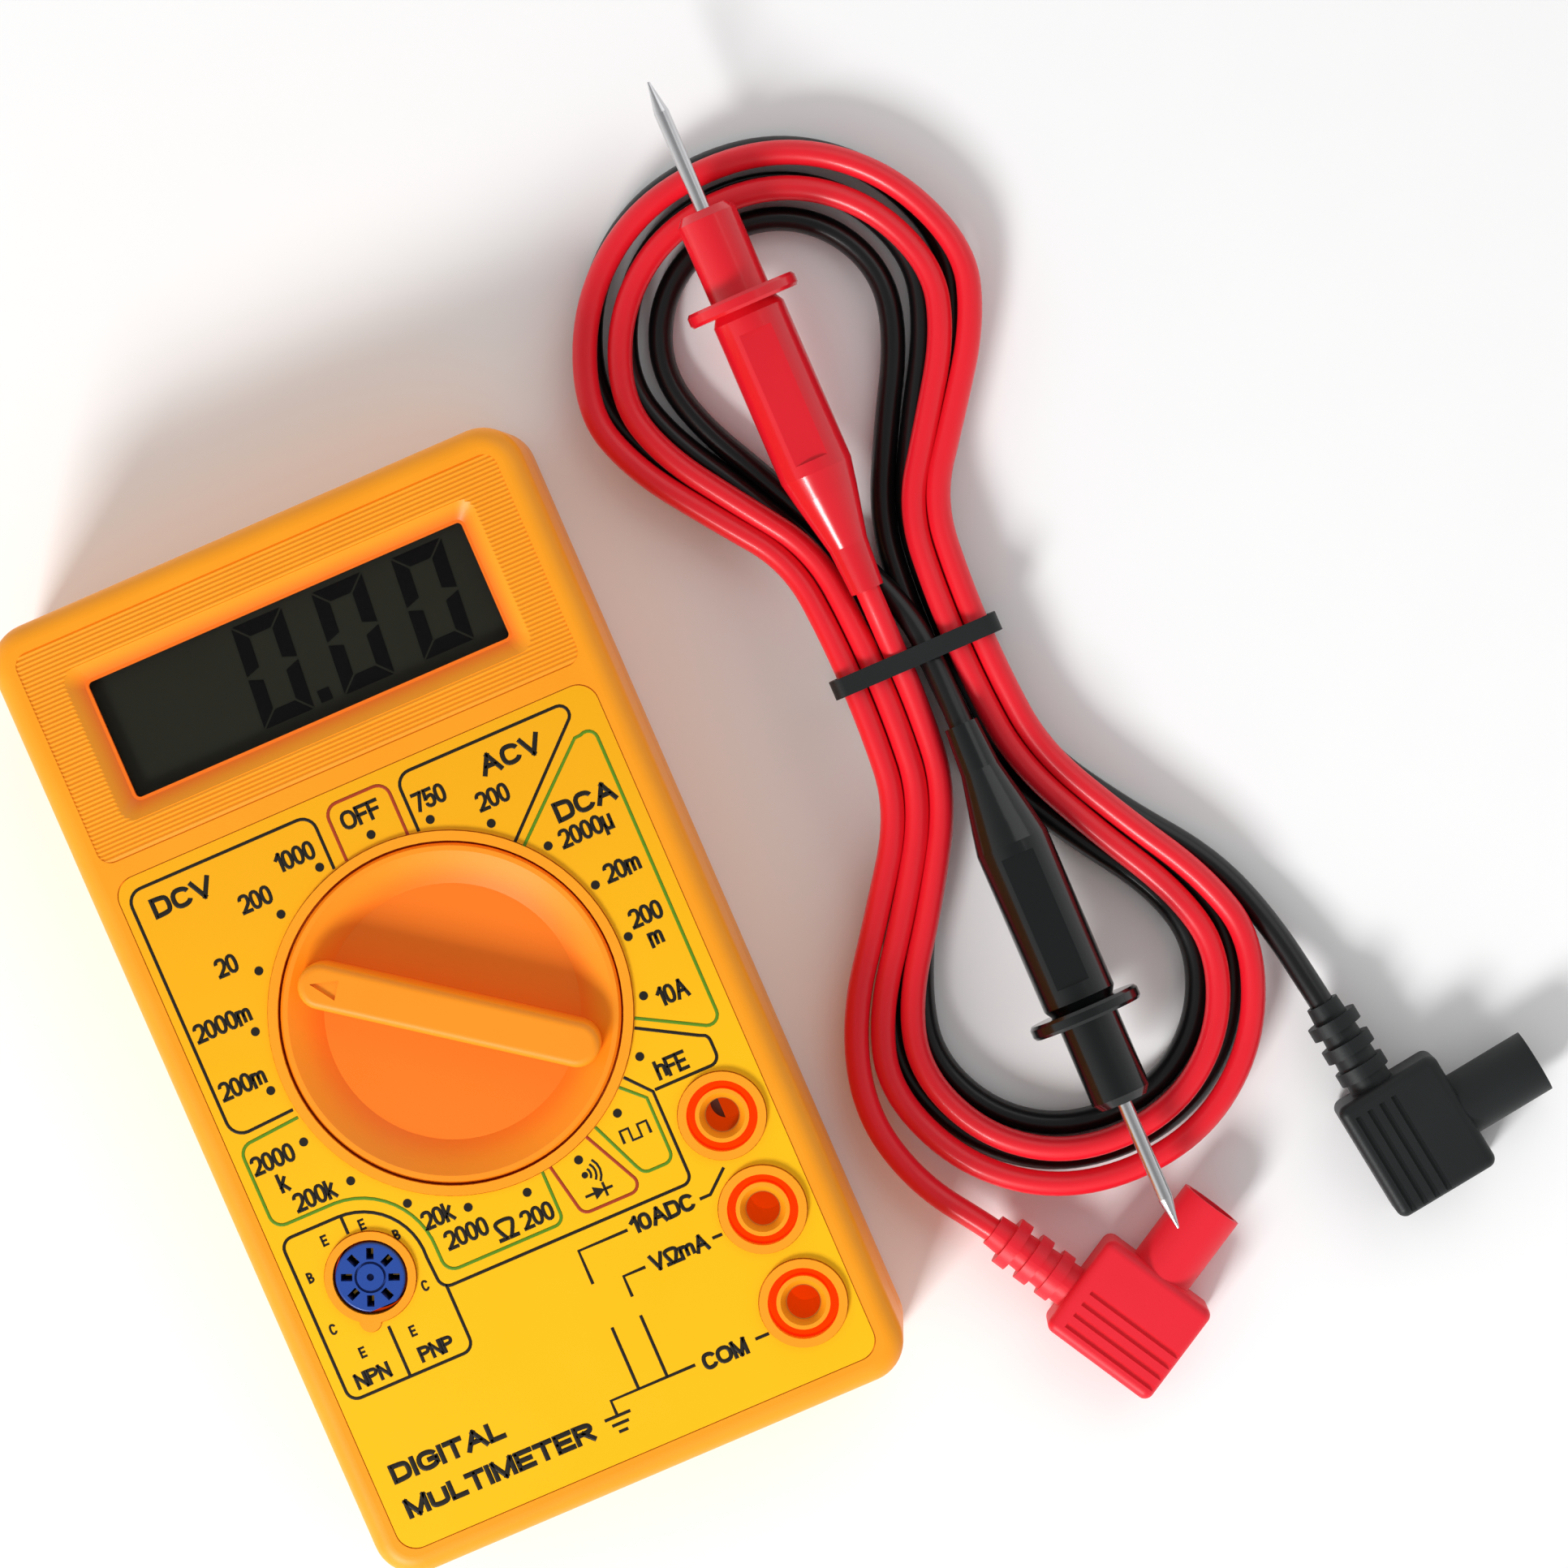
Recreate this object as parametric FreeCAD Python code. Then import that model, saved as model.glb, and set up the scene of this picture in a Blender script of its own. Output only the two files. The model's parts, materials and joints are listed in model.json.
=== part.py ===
"""Pocket digital multimeter, lying on its back, with a pair of bundled test leads beside it.

Millimetres.  The origin is under the middle of the meter's back, +Z comes out of the face,
+Y points to the display end and +X to the side of the input jacks.
"""
import FreeCAD, Part
import math
import os

os.makedirs("parts", exist_ok=True)
V = FreeCAD.Vector

# ---------------------------------------------------------------- driving dimensions
case_width = 70.0
case_length = 126.0
case_height = 24.0
case_corner_radius = 5.2
case_edge_round = 2.4
case_wall = 2.0
face_thickness = 2.2
split_height = 10.0             # where the rear shell meets the front shell
tongue_height = 1.2
seam_chamfer = 0.25

fit_gap = 0.1                   # between pieces that drop into each other
press_gap = 0.05                # between a screw or pin and its hole
running_gap = 0.08              # between the dial and its ring
moving_gap = 0.3                # between moving pieces that never touch

# display, measured down from the display end of the case
display_from_end = 17.4         # centre of the display
display_view_width = 49.6
display_view_length = 15.25
bezel_slope = 2.55              # width of the sloping band round the display
bezel_depth = 1.6
bezel_corner = 2.0
bezel_lip = 0.4                 # flat lip between the slope and the opening
window_thickness = 1.0
window_overlap = 2.0
glass_thickness = 2.2
holder_wall = 2.0
ridge_panel_from_end = 3.4
ridge_panel_length = 27.7
ridge_panel_width = case_width - 6.3
ridge_panel_corner = 1.8
ridge_pitch = 0.56
ridge_depth = 0.2

# printed panel
panel_width = case_width - 6.6
panel_from_top_end = 33.5
panel_from_low_end = 3.3
panel_corner_radius = 2.6
panel_thickness = 0.3
panel_recess = 0.35

# dial
dial_from_end = 64.1            # dial centre, from the display end
dial_radius = 20.75             # visible disc
collar_width = 1.2
collar_height = 0.45
dial_rim = 5.05                 # from the disc's edge in to the dished floor
dial_floor_radius = dial_radius - dial_rim
dial_dish_depth = 2.6
dial_skin = 1.6
dial_shoulder = 1.55            # how far the drum reaches out under the face
dial_drum_radius = dial_radius + dial_shoulder
dial_drum_wall = 3.0
dial_step = 0.2                 # the disc's edge above the face
handle_length = 2 * dial_radius - 4.0
handle_width = 5.7
handle_height = 3.4             # above the face
handle_edge_round = 1.0
pointer_length = 3.4            # engraved triangle at one end of the handle
pointer_width = 2.5
pointer_depth = 0.4
pointer_inset = 1.5
detent_count = 20
handle_detent = 3               # detents counted anticlockwise from the top
ring_wall = 2.5
ball_radius = 1.5
ball_throw = 0.5               # how far a ball moves out into a notch
spring_coil_radius = 1.15
spring_wire_radius = 0.16
wiper_count = 6
wiper_start = 4.3               # inner side of the first wiper
wiper_strip = 1.5
wiper_foot = 1.6                # from the drum's lower edge up to the wipers' carrier

# circuit board, measured down from the face
board_thickness = 1.6
board_depth = 11.4              # from the face to the board's dial side
drum_clearance = 1.6            # between the dial's drum and the board
board_edge_gap = 0.7
board_screw_radius = 0.95
board_screw_head = 1.9
board_boss_radius = 2.4
case_screw_radius = 1.1
case_screw_head = 2.2
case_boss_radius = 2.7
case_screw_inset = 5.6          # from the side of the case
case_screw_from_end = 36.5

# input jacks, from the right-hand side and the low end of the case
jack_inset = 9.65
jack_from_low_end = 12.5
jack_pitch = 12.45
jack_bore = 2.05
jack_brass_wall = 0.55
jack_post_wall = 0.6
jack_groove_width = 1.05
jack_collar_wall = 1.05
jack_groove_floor = 3.4         # from the groove's floor down to the board
jack_floor_thickness = 1.5
jack_collar_height = 0.6
jack_lip = 1.0

# transistor socket, from the left-hand side and the low end of the case
socket_inset = 13.1
socket_from_low_end = 36.2
socket_radius = 4.3
socket_collar_width = 1.0
socket_collar_height = 0.5
socket_key_angle = 247.0
socket_key_radius = 1.3
socket_slots = 8
socket_slot_circle = 2.9
socket_slot_start = 22.5        # angle of the first slot

# battery and fuse
battery_length = 46.4
battery_width = 26.2
battery_thickness = 17.2
terminal_length = 2.1
terminal_spacing = 12.7
snap_thickness = 1.8
snap_half_length = 12.0
fuse_length = 20.0
fuse_radius = 2.6

# test leads, lying tied in a hank beside the meter
lead_gap = 8.0                  # between the meter and the hank
wire_radius = 1.55
wire_pitch = 2 * wire_radius + 0.1      # between strands side by side in the tie
layer_height = 2 * wire_radius + 0.2    # black strands below, red strands above
hank_half_width = 26.0
hank_middle_y = 16.0            # the tie
# each lead's loops: distance of the tip from the tie, half width, number of turns
black_lobes = {"left": (67.0, 23.5, 3), "right": (67.0, 22.0, 2)}
red_lobes = {"left": (66.0, 25.0, 2), "right": (70.0, 24.0, 2)}
lobe_step = 4.4                 # each inner turn is this much smaller
tie_thickness = 0.8
tie_width = 2.4
plug_shroud_gap = 0.25          # between the plug's shroud and the walls of the jack's groove
plug_post_gap = 0.15
plug_block = (16.0, 14.0, 9.0)  # length, width, thickness
plug_relief = 12.0
plug_reach = 19.0               # from the wire's axis to the shroud's mouth
probe_radius = 4.7
probe_guard_radius = 7.2
probe_barrel_radius = 3.85
probe_length = 51.0             # tail to front end of the barrel
probe_guard_from_tail = 38.0
probe_needle_radius = 0.95
probe_needle_length = 17.0
needle_seat = 7.5               # how deep the needle sits in the barrel
probe_tail = 10.0               # from the tie to a probe's tail
probe_slope = 0.05              # the probes lie on the strands, tail lower than tip
probes = {"black": (1, 1.8), "red": (-1, -2.2)}     # side of the tie, place across it

# ---------------------------------------------------------------- levels and places
face = case_height
face_under = face - face_thickness
half_width = case_width / 2
half_length = case_length / 2
board_top = face - board_depth
board_under = board_top - board_thickness
inner_x = half_width - case_wall
inner_y = half_length - case_wall
floor_top = case_wall

display_y = half_length - display_from_end
dial_y = half_length - dial_from_end
dial_middle = V(0, dial_y, 0)
handle_angle = 90.0 + handle_detent * 360.0 / detent_count
ball_angles = {"a": handle_angle - 90.0, "b": handle_angle + 90.0}
ring_radius = dial_drum_radius + running_gap
drum_bottom = board_top + drum_clearance
drum_inner = dial_drum_radius - dial_drum_wall
disc_top = face + dial_step
dial_floor = disc_top - dial_dish_depth
wiper_pitch = (drum_inner - wiper_start - 2 * wiper_strip) / (wiper_count - 1)
collar_inner = dial_radius + moving_gap
collar_outer = collar_inner + collar_width
ball_place = dial_drum_radius + 0.03 - ball_radius     # pressed in, just clear of the ring
ball_level = (drum_bottom + face_under) / 2 - 0.4
pocket_depth = 9.0

jack_x = half_width - jack_inset
jack_ys = [-half_length + jack_from_low_end + i * jack_pitch for i in range(3)]
brass_radius = jack_bore + jack_brass_wall
post_radius = brass_radius + fit_gap + jack_post_wall
jack_groove_outer = post_radius + jack_groove_width
jack_groove_depth = board_depth - jack_groove_floor
jack_collar_radius = jack_groove_outer + jack_collar_wall
plug_shroud_outer = jack_groove_outer - plug_shroud_gap
plug_shroud_inner = post_radius + plug_post_gap
plug_pin_radius = jack_bore - press_gap
socket_place = V(-half_width + socket_inset, -half_length + socket_from_low_end, 0)
socket_collar_radius = socket_radius + moving_gap + socket_collar_width

battery_x0 = -inner_x + 1.2
battery_y0 = -inner_y + 1.0
battery_z0 = floor_top + 0.2
battery_x1 = battery_x0 + battery_length
battery_y1 = battery_y0 + battery_width
battery_middle_y = (battery_y0 + battery_y1) / 2
battery_level = battery_z0 + battery_thickness / 2
board_low = battery_y1 + 1.0
leg_left = battery_x1 + terminal_length + snap_thickness + 1.8

case_screws = [V(s * (half_width - case_screw_inset), half_length - case_screw_from_end, 0)
               for s in (-1, 1)]
boss_drop = 7.0                 # level where the front bosses meet the rear ones
board_screw_side = half_width - 6.5
board_screws = [V(0, dial_y + ring_radius + ring_wall + 5.0, 0),
                V(-board_screw_side, dial_y + 6.1, 0),
                V(board_screw_side, dial_y + 6.1, 0)]


# ---------------------------------------------------------------- helpers
def block(x0, y0, z0, x1, y1, z1):
    return Part.makeBox(x1 - x0, y1 - y0, z1 - z0, V(x0, y0, z0))


def centred_block(centre, width, length, z0, z1):
    return block(centre.x - width / 2, centre.y - length / 2, z0,
                 centre.x + width / 2, centre.y + length / 2, z1)


def rod(centre, radius, z0, z1):
    return Part.makeCylinder(radius, z1 - z0, V(centre.x, centre.y, z0))


def tube(centre, outer, inner, z0, z1):
    return rod(centre, outer, z0, z1).cut(rod(centre, inner, z0 - 1, z1 + 1))


def edges_at(shape, z, tolerance=1e-4):
    return [e for e in shape.Edges if all(abs(v.Z - z) < tolerance for v in e.Vertexes)
            and abs(e.BoundBox.ZMax - e.BoundBox.ZMin) < tolerance]


def upright_edges(shape):
    return [e for e in shape.Edges
            if len(e.Vertexes) == 2 and abs(e.Vertexes[0].X - e.Vertexes[1].X) < 1e-6
            and abs(e.Vertexes[0].Y - e.Vertexes[1].Y) < 1e-6]


def plate(centre, width, length, z0, z1, corner):
    slab = centred_block(centre, width, length, z0, z1)
    return slab.makeFillet(corner, upright_edges(slab))


def outline(centre, width, length, z, corner):
    """A closed round-cornered rectangle at one level."""
    slab = plate(centre, width, length, z, z + 1, corner)
    return Part.Wire(Part.__sortEdges__(edges_at(slab, z)))


def stadium(centre, length, width, z0, z1, angle):
    middle = centred_block(centre, length - width, width, z0, z1)
    ends = [rod(centre + V(s * (length - width) / 2, 0, 0), width / 2, z0, z1) for s in (-1, 1)]
    bar = middle.fuse(ends).removeSplitter()
    bar.rotate(centre, V(0, 0, 1), angle)
    return bar


def turned(shape, centre, angle):
    copy = shape.copy()
    copy.rotate(V(centre.x, centre.y, 0), V(0, 0, 1), angle)
    return copy


def around(centre, radius, angle):
    a = math.radians(angle)
    return V(centre.x + radius * math.cos(a), centre.y + radius * math.sin(a), 0)


def lathe(points, centre):
    """A ring or disc from its (radius, level) half section."""
    wire = Part.makePolygon([V(r, 0, z) for r, z in points] + [V(points[0][0], 0, points[0][1])])
    solid = Part.Face(wire).revolve(V(0, 0, 0), V(0, 0, 1), 360)
    solid.translate(V(centre.x, centre.y, 0))
    return solid


def rounded_path(points, share=0.45):
    """Straight runs joined by tangent arcs, each as large as its two runs allow."""
    edges = []
    radii = []
    start = points[0]
    for before, here, after in zip(points, points[1:], points[2:]):
        back = (before - here).normalize()
        ahead = (after - here).normalize()
        turn = math.pi - back.getAngle(ahead)
        reach = share * min((before - here).Length, (after - here).Length)
        radius = reach / math.tan(turn / 2)
        centre_line = (back + ahead).normalize()
        middle = here + centre_line * (radius / math.cos(turn / 2) - radius)
        edges.append(Part.LineSegment(start, here + back * reach).toShape())
        edges.append(Part.Arc(here + back * reach, middle, here + ahead * reach).toShape())
        radii.append(radius)
        start = here + ahead * reach
    edges.append(Part.LineSegment(start, points[-1]).toShape())
    return Part.Wire(edges), radii


def wire_along(points, radius):
    """A round wire that follows a list of corner points."""
    path, radii = rounded_path(points)
    section = Part.Wire(Part.Circle(points[0], points[1] - points[0], radius).toShape())
    solid = path.makePipeShell([section], True, False)
    wanted = math.pi * radius ** 2 * path.Length
    print("wire: length %.1f, smallest bend %.2f, volume/expected %.3f"
          % (path.Length, min(radii), solid.Volume / wanted))
    return solid


def coil_spring(foot, direction, length, coil_radius, wire_radius, turns):
    helix = Part.makeHelix(length / turns, length, coil_radius)
    start = V(coil_radius, 0, 0)
    section = Part.Wire(Part.Circle(start, V(0, 1, 0), wire_radius).toShape())
    solid = Part.Wire(helix).makePipeShell([section], True, True)
    solid.Placement = FreeCAD.Placement(foot, FreeCAD.Rotation(V(0, 0, 1), direction))
    return solid


def cross_head(centre, radius, z_outer, z_inner, shank_radius, shank_end):
    """A screw put in from the back: head between two levels, cross recess, shank up to shank_end."""
    head = rod(centre, radius, z_outer, z_inner)
    head = head.makeFillet(0.4, edges_at(head, z_outer))
    arm = radius * 1.2
    recess = centred_block(centre, arm, radius * 0.28, z_outer - 1, z_outer + 0.7)
    recess = recess.fuse(centred_block(centre, radius * 0.28, arm, z_outer - 1, z_outer + 0.7))
    shank = rod(centre, shank_radius, z_inner, shank_end - shank_radius)
    tip = Part.makeCone(shank_radius, shank_radius * 0.3, shank_radius,
                        V(centre.x, centre.y, shank_end - shank_radius))
    return head.cut(recess).fuse([shank, tip]).removeSplitter()


def save(name, shape):
    shape = shape if shape.ShapeType == "Compound" and len(shape.Solids) > 1 else shape.Solids[0]
    if not shape.isValid():
        raise ValueError(name + " is not a valid solid")
    shape.exportStep("parts/%s.step" % name)
    box = shape.BoundBox
    print("%-26s %2d solid(s)  %8.1f mm3  z %5.1f to %5.1f"
          % (name, len(shape.Solids), shape.Volume, box.ZMin, box.ZMax))


# ---------------------------------------------------------------- case shells
def make_front_case():
    middle = V(0, 0, 0)
    shell = plate(middle, case_width, case_length, split_height, face, case_corner_radius)
    shell = shell.makeFillet(case_edge_round, edges_at(shell, face))
    shell = shell.makeChamfer(seam_chamfer, edges_at(shell, split_height))
    cavity = plate(middle, 2 * inner_x, 2 * inner_y, split_height - 1, face_under,
                   case_corner_radius - case_wall)
    shell = shell.cut(cavity)
    rebate = plate(middle, case_width - case_wall, case_length - case_wall,
                   split_height - 1, split_height + tongue_height + fit_gap,
                   case_corner_radius - case_wall / 2)
    shell = shell.cut(rebate)

    grown = [tube(dial_middle, ring_radius + ring_wall, ring_radius, drum_bottom, face_under)]
    grown.append(tube(dial_middle, collar_outer, collar_inner, face_under, face + collar_height))
    for y in jack_ys:
        place = V(jack_x, y, 0)
        grown.append(rod(place, jack_collar_radius,
                         face - jack_groove_depth - jack_floor_thickness,
                         face + jack_collar_height))
    grown.append(socket_collar())
    for place in case_screws:
        grown.append(rod(place, case_boss_radius, boss_drop, face_under))
    for place in board_screws:
        grown.append(rod(place, board_boss_radius, board_top, face_under))
    shell = shell.fuse(grown)

    shell = shell.cut(ridge_grooves())
    shell = shell.cut(panel_shape(face - panel_recess, face + 2, fit_gap))
    cuts = [rod(dial_middle, collar_inner, face_under - 1, face + 5)]
    notch = rod(around(dial_middle, ball_place + ball_throw, 90), ball_radius + fit_gap,
                drum_bottom - 1, face_under)
    for i in range(detent_count):
        cuts.append(turned(notch, dial_middle, i * 360.0 / detent_count))
    cuts += display_opening()
    for y in jack_ys:
        place = V(jack_x, y, 0)
        cuts.append(tube(place, jack_groove_outer, post_radius, face - jack_groove_depth, face + 5))
        cuts.append(rod(place, post_radius, face, face + 5))
        cuts.append(rod(place, jack_bore + fit_gap, board_under, face - jack_lip))
        lead_in = Part.makeCone(jack_bore + fit_gap, post_radius - 0.5, jack_lip + 0.01,
                                V(place.x, place.y, face - jack_lip))
        cuts.append(lead_in)
        cuts.append(rod(place, brass_radius + fit_gap, board_under, face - jack_lip))
    cuts.append(rod(socket_place, socket_radius + moving_gap, board_under, face + 5))
    for place in case_screws:
        cuts.append(rod(place, case_screw_radius + press_gap, boss_drop - 1, face - 6.5))
    for place in board_screws:
        cuts.append(rod(place, board_screw_radius + press_gap, board_top - 1, face - 4.0))
    return shell.cut(cuts).removeSplitter()


def ridge_panel(z0, z1):
    centre = V(0, half_length - ridge_panel_from_end - ridge_panel_length / 2, 0)
    return plate(centre, ridge_panel_width, ridge_panel_length, z0, z1, ridge_panel_corner)


def ridge_grooves():
    """Everything above a saw-tooth line, inside the ridged panel round the display."""
    y = half_length - ridge_panel_from_end
    points = [V(0, y, face + 1)]
    for i in range(int(ridge_panel_length / ridge_pitch)):
        points.append(V(0, y - i * ridge_pitch, face - ridge_depth))
        points.append(V(0, y - (i + 0.5) * ridge_pitch, face))
    points.append(V(0, y - ridge_panel_length, face - ridge_depth))
    points.append(V(0, y - ridge_panel_length, face + 1))
    points.append(points[0])
    saw = Part.Face(Part.makePolygon(points)).extrude(V(case_width, 0, 0))
    saw.translate(V(-half_width, 0, 0))
    return saw.common(ridge_panel(face - 1, face + 2))


def display_opening():
    centre = V(0, display_y, 0)
    outer = outline(centre, display_view_width + 2 * bezel_slope,
                    display_view_length + 2 * bezel_slope, face + 0.001, bezel_corner)
    inner = outline(centre, display_view_width + 2 * bezel_lip,
                    display_view_length + 2 * bezel_lip, face - bezel_depth, bezel_corner / 2)
    funnel = Part.makeLoft([outer, inner], True, True)
    view = plate(centre, display_view_width, display_view_length, face_under - 1, face + 1, 0.6)
    return [funnel, view]


def slot_angle(k):
    return socket_slot_start + k * 360.0 / socket_slots


def socket_key_place():
    return around(socket_place, socket_collar_radius - 0.2, socket_key_angle)


def socket_collar():
    top = face + socket_collar_height
    ring = rod(socket_place, socket_collar_radius, face - 5, top)
    key = rod(socket_key_place(), socket_key_radius, face - 5, top)
    return ring.fuse(key)


def panel_shape(z0, z1, grow):
    """The printed panel, or with some growth the recess for it, round all that stands up."""
    length = case_length - panel_from_top_end - panel_from_low_end
    centre = V(0, -half_length + panel_from_low_end + length / 2, 0)
    sheet = plate(centre, panel_width + 2 * grow, length + 2 * grow, z0, z1, panel_corner_radius)
    gap = 0.0 if grow else fit_gap
    holes = [rod(dial_middle, collar_outer + gap, z0 - 1, z1 + 1)]
    for y in jack_ys:
        holes.append(rod(V(jack_x, y, 0), jack_collar_radius + gap, z0 - 1, z1 + 1))
    holes.append(rod(socket_place, socket_collar_radius + gap, z0 - 1, z1 + 1))
    holes.append(rod(socket_key_place(), socket_key_radius + gap, z0 - 1, z1 + 1))
    return sheet.cut(holes)


def make_rear_case():
    middle = V(0, 0, 0)
    shell = plate(middle, case_width, case_length, 0, split_height, case_corner_radius)
    shell = shell.makeFillet(case_edge_round, edges_at(shell, 0))
    shell = shell.makeChamfer(seam_chamfer, edges_at(shell, split_height))
    shell = shell.cut(plate(middle, 2 * inner_x, 2 * inner_y, floor_top, split_height + 1,
                            case_corner_radius - case_wall))
    half_wall = case_wall / 2 + fit_gap
    tongue = plate(middle, case_width - 2 * half_wall, case_length - 2 * half_wall,
                   split_height - 1, split_height + tongue_height,
                   case_corner_radius - half_wall)
    tongue = tongue.cut(plate(middle, 2 * inner_x, 2 * inner_y, 0, case_height,
                              case_corner_radius - case_wall))
    grown = [tongue]
    for place in case_screws:
        grown.append(rod(place, case_boss_radius + 1.0, 0.5, boss_drop - fit_gap))
    rib_top = board_under - 0.5
    grown.append(block(-inner_x - 0.5, battery_y1 + 0.3, 1,
                       battery_x1 - 3, battery_y1 + 1.5, rib_top))
    grown.append(block(leg_left - 1.4, -inner_y - 0.5, 1,
                       leg_left - 0.4, battery_y1 - 3, rib_top))
    for x in (-18.0, 18.0):
        grown.append(block(x - 4, inner_y - 1.2, 1, x + 4, inner_y - fit_gap, split_height + 3.0))
    shell = shell.fuse(grown)
    front_wall = plate(middle, case_width, case_length,
                       split_height + tongue_height, face, case_corner_radius)
    front_wall = front_wall.cut(plate(middle, 2 * inner_x - fit_gap, 2 * inner_y - fit_gap,
                                      split_height, face + 1, case_corner_radius - case_wall))
    cuts = [front_wall]
    for place in case_screws:
        cuts.append(rod(place, case_screw_head + 0.2, -1, 4.2))
        cuts.append(rod(place, case_screw_radius + 0.2, -1, split_height))
    grip = block(-12, 0, -1, 12, 0.8, 0.4)
    for i in range(7):
        slot = grip.copy()
        slot.translate(V(0, half_length - 12.0 - i * 1.8, 0))
        cuts.append(slot)
    return shell.cut(cuts).removeSplitter()


def make_screws(places, head_radius, z_outer, z_inner, shank_radius, shank_end):
    return Part.makeCompound([cross_head(p, head_radius, z_outer, z_inner, shank_radius, shank_end)
                              for p in places])


# ---------------------------------------------------------------- display stack
def display_levels():
    window_bottom = face_under - window_thickness
    glass_bottom = window_bottom - fit_gap - glass_thickness
    return window_bottom, glass_bottom


def make_window():
    window_bottom, _ = display_levels()
    centre = V(0, display_y, 0)
    return plate(centre, display_view_width + 2 * window_overlap,
                 display_view_length + 2 * window_overlap, window_bottom, face_under, 0.8)


def glass_size():
    return display_view_width + 2 * window_overlap, display_view_length + 2 * window_overlap + 2.0


def make_display_glass():
    window_bottom, glass_bottom = display_levels()
    width, length = glass_size()
    centre = V(0, display_y - 0.5, 0)
    back = centred_block(centre, width, length, glass_bottom, glass_bottom + glass_thickness / 2)
    front = centred_block(centre + V(0, 1.0, 0), width, length - 2.0,
                          glass_bottom + glass_thickness / 2, window_bottom - fit_gap)
    return back.fuse(front)


def make_holder():
    _, glass_bottom = display_levels()
    width, length = glass_size()
    centre = V(0, display_y - 0.5, 0)
    gap = 2 * fit_gap
    frame = centred_block(centre, width + gap + 2 * holder_wall, length + gap + 2 * holder_wall,
                          board_top + 0.05, face_under - 0.05)
    pocket = centred_block(centre, width + gap, length + gap, glass_bottom, face)
    under = centred_block(centre, width - 3, length - 3, board_top - 1, glass_bottom - 1.4)
    slot = zebra_block(fit_gap)
    return frame.cut([pocket, under, slot])


def zebra_block(grow):
    _, glass_bottom = display_levels()
    centre = V(0, display_y - 0.5 - glass_size()[1] / 2 + 2.9, 0)
    return centred_block(centre, display_view_width - 3 + 2 * grow, 2.0 + 2 * grow,
                         board_top - grow * 10, glass_bottom + grow)


# ---------------------------------------------------------------- dial
def make_dial():
    top = disc_top
    outer = dial_drum_radius
    inner = drum_inner
    profile = [(0.0, dial_floor), (dial_floor_radius, dial_floor),
               (dial_radius - 0.9, top), (dial_radius - 0.3, top), (dial_radius, top - 0.3),
               (dial_radius, face_under - moving_gap), (outer, face_under - moving_gap),
               (outer, drum_bottom), (inner, drum_bottom),
               (inner, dial_floor - dial_skin + 0.9), (dial_floor_radius - 0.6, dial_floor - dial_skin),
               (0.0, dial_floor - dial_skin)]
    knob = lathe(profile, dial_middle)
    handle = stadium(dial_middle, handle_length, handle_width, dial_floor - 0.5,
                     face + handle_height, handle_angle)
    handle = handle.makeFillet(handle_edge_round, edges_at(handle, face + handle_height))
    pockets = []
    holes = []
    for angle in ball_angles.values():
        direction = around(V(0, 0, 0), 1, angle)
        mouth = around(dial_middle, dial_drum_radius + 1, angle) + V(0, 0, ball_level)
        back = around(dial_middle, dial_drum_radius - pocket_depth - 1.2, angle) + V(0, 0, ball_level)
        pockets.append(Part.makeCylinder(ball_radius + fit_gap + 1.1, pocket_depth, back, direction))
        holes.append(Part.makeCylinder(ball_radius + fit_gap, pocket_depth + 1,
                                       mouth, direction * -1))
    carrier_end = drum_inner - wiper_strip + 0.1
    carrier = block(wiper_start - 1.4, dial_y - 2.5, drum_bottom + wiper_foot,
                    carrier_end, dial_y + 2.5, dial_floor - dial_skin + 0.5)
    carrier = turned(carrier, dial_middle, handle_angle)
    knob = knob.fuse([handle, carrier] + pockets)
    tip = around(dial_middle, handle_length / 2 - pointer_inset, handle_angle)
    triangle = [V(0, 0, 0), V(-pointer_length, pointer_width / 2, 0),
                V(-pointer_length, -pointer_width / 2, 0), V(0, 0, 0)]
    pointer = Part.Face(Part.makePolygon(triangle)).extrude(V(0, 0, 2))
    pointer.rotate(V(0, 0, 0), V(0, 0, 1), handle_angle)
    pointer.translate(tip + V(0, 0, face + handle_height - pointer_depth))
    return knob.cut(holes + [pointer]).removeSplitter()


def make_wipers():
    """V-shaped contact springs under the dial, side by side along one radius."""
    top = drum_bottom + wiper_foot
    bottom = board_top + fit_gap
    thickness = 0.25
    springs = []
    for i in range(wiper_count):
        r = wiper_start + i * wiper_pitch
        section = [V(r, -3.2, bottom), V(r, 0, top - thickness), V(r, 3.2, bottom),
                   V(r, 3.2, bottom + thickness), V(r, 0.4, top), V(r, -0.4, top),
                   V(r, -3.2, bottom + thickness), V(r, -3.2, bottom)]
        strip = Part.Face(Part.makePolygon(section)).extrude(V(wiper_strip, 0, 0))
        strip.translate(dial_middle)
        springs.append(turned(strip, dial_middle, handle_angle))
    return Part.makeCompound(springs)


def make_ball(angle):
    return Part.makeSphere(ball_radius, around(dial_middle, ball_place, angle) + V(0, 0, ball_level))


def make_detent_spring(angle):
    length = ball_place - ball_radius - (dial_drum_radius - pocket_depth) - 0.5
    foot = around(dial_middle, dial_drum_radius - pocket_depth + 0.2, angle) + V(0, 0, ball_level)
    return coil_spring(foot, around(V(0, 0, 0), 1, angle), length,
                       spring_coil_radius, spring_wire_radius, 6)


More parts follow.
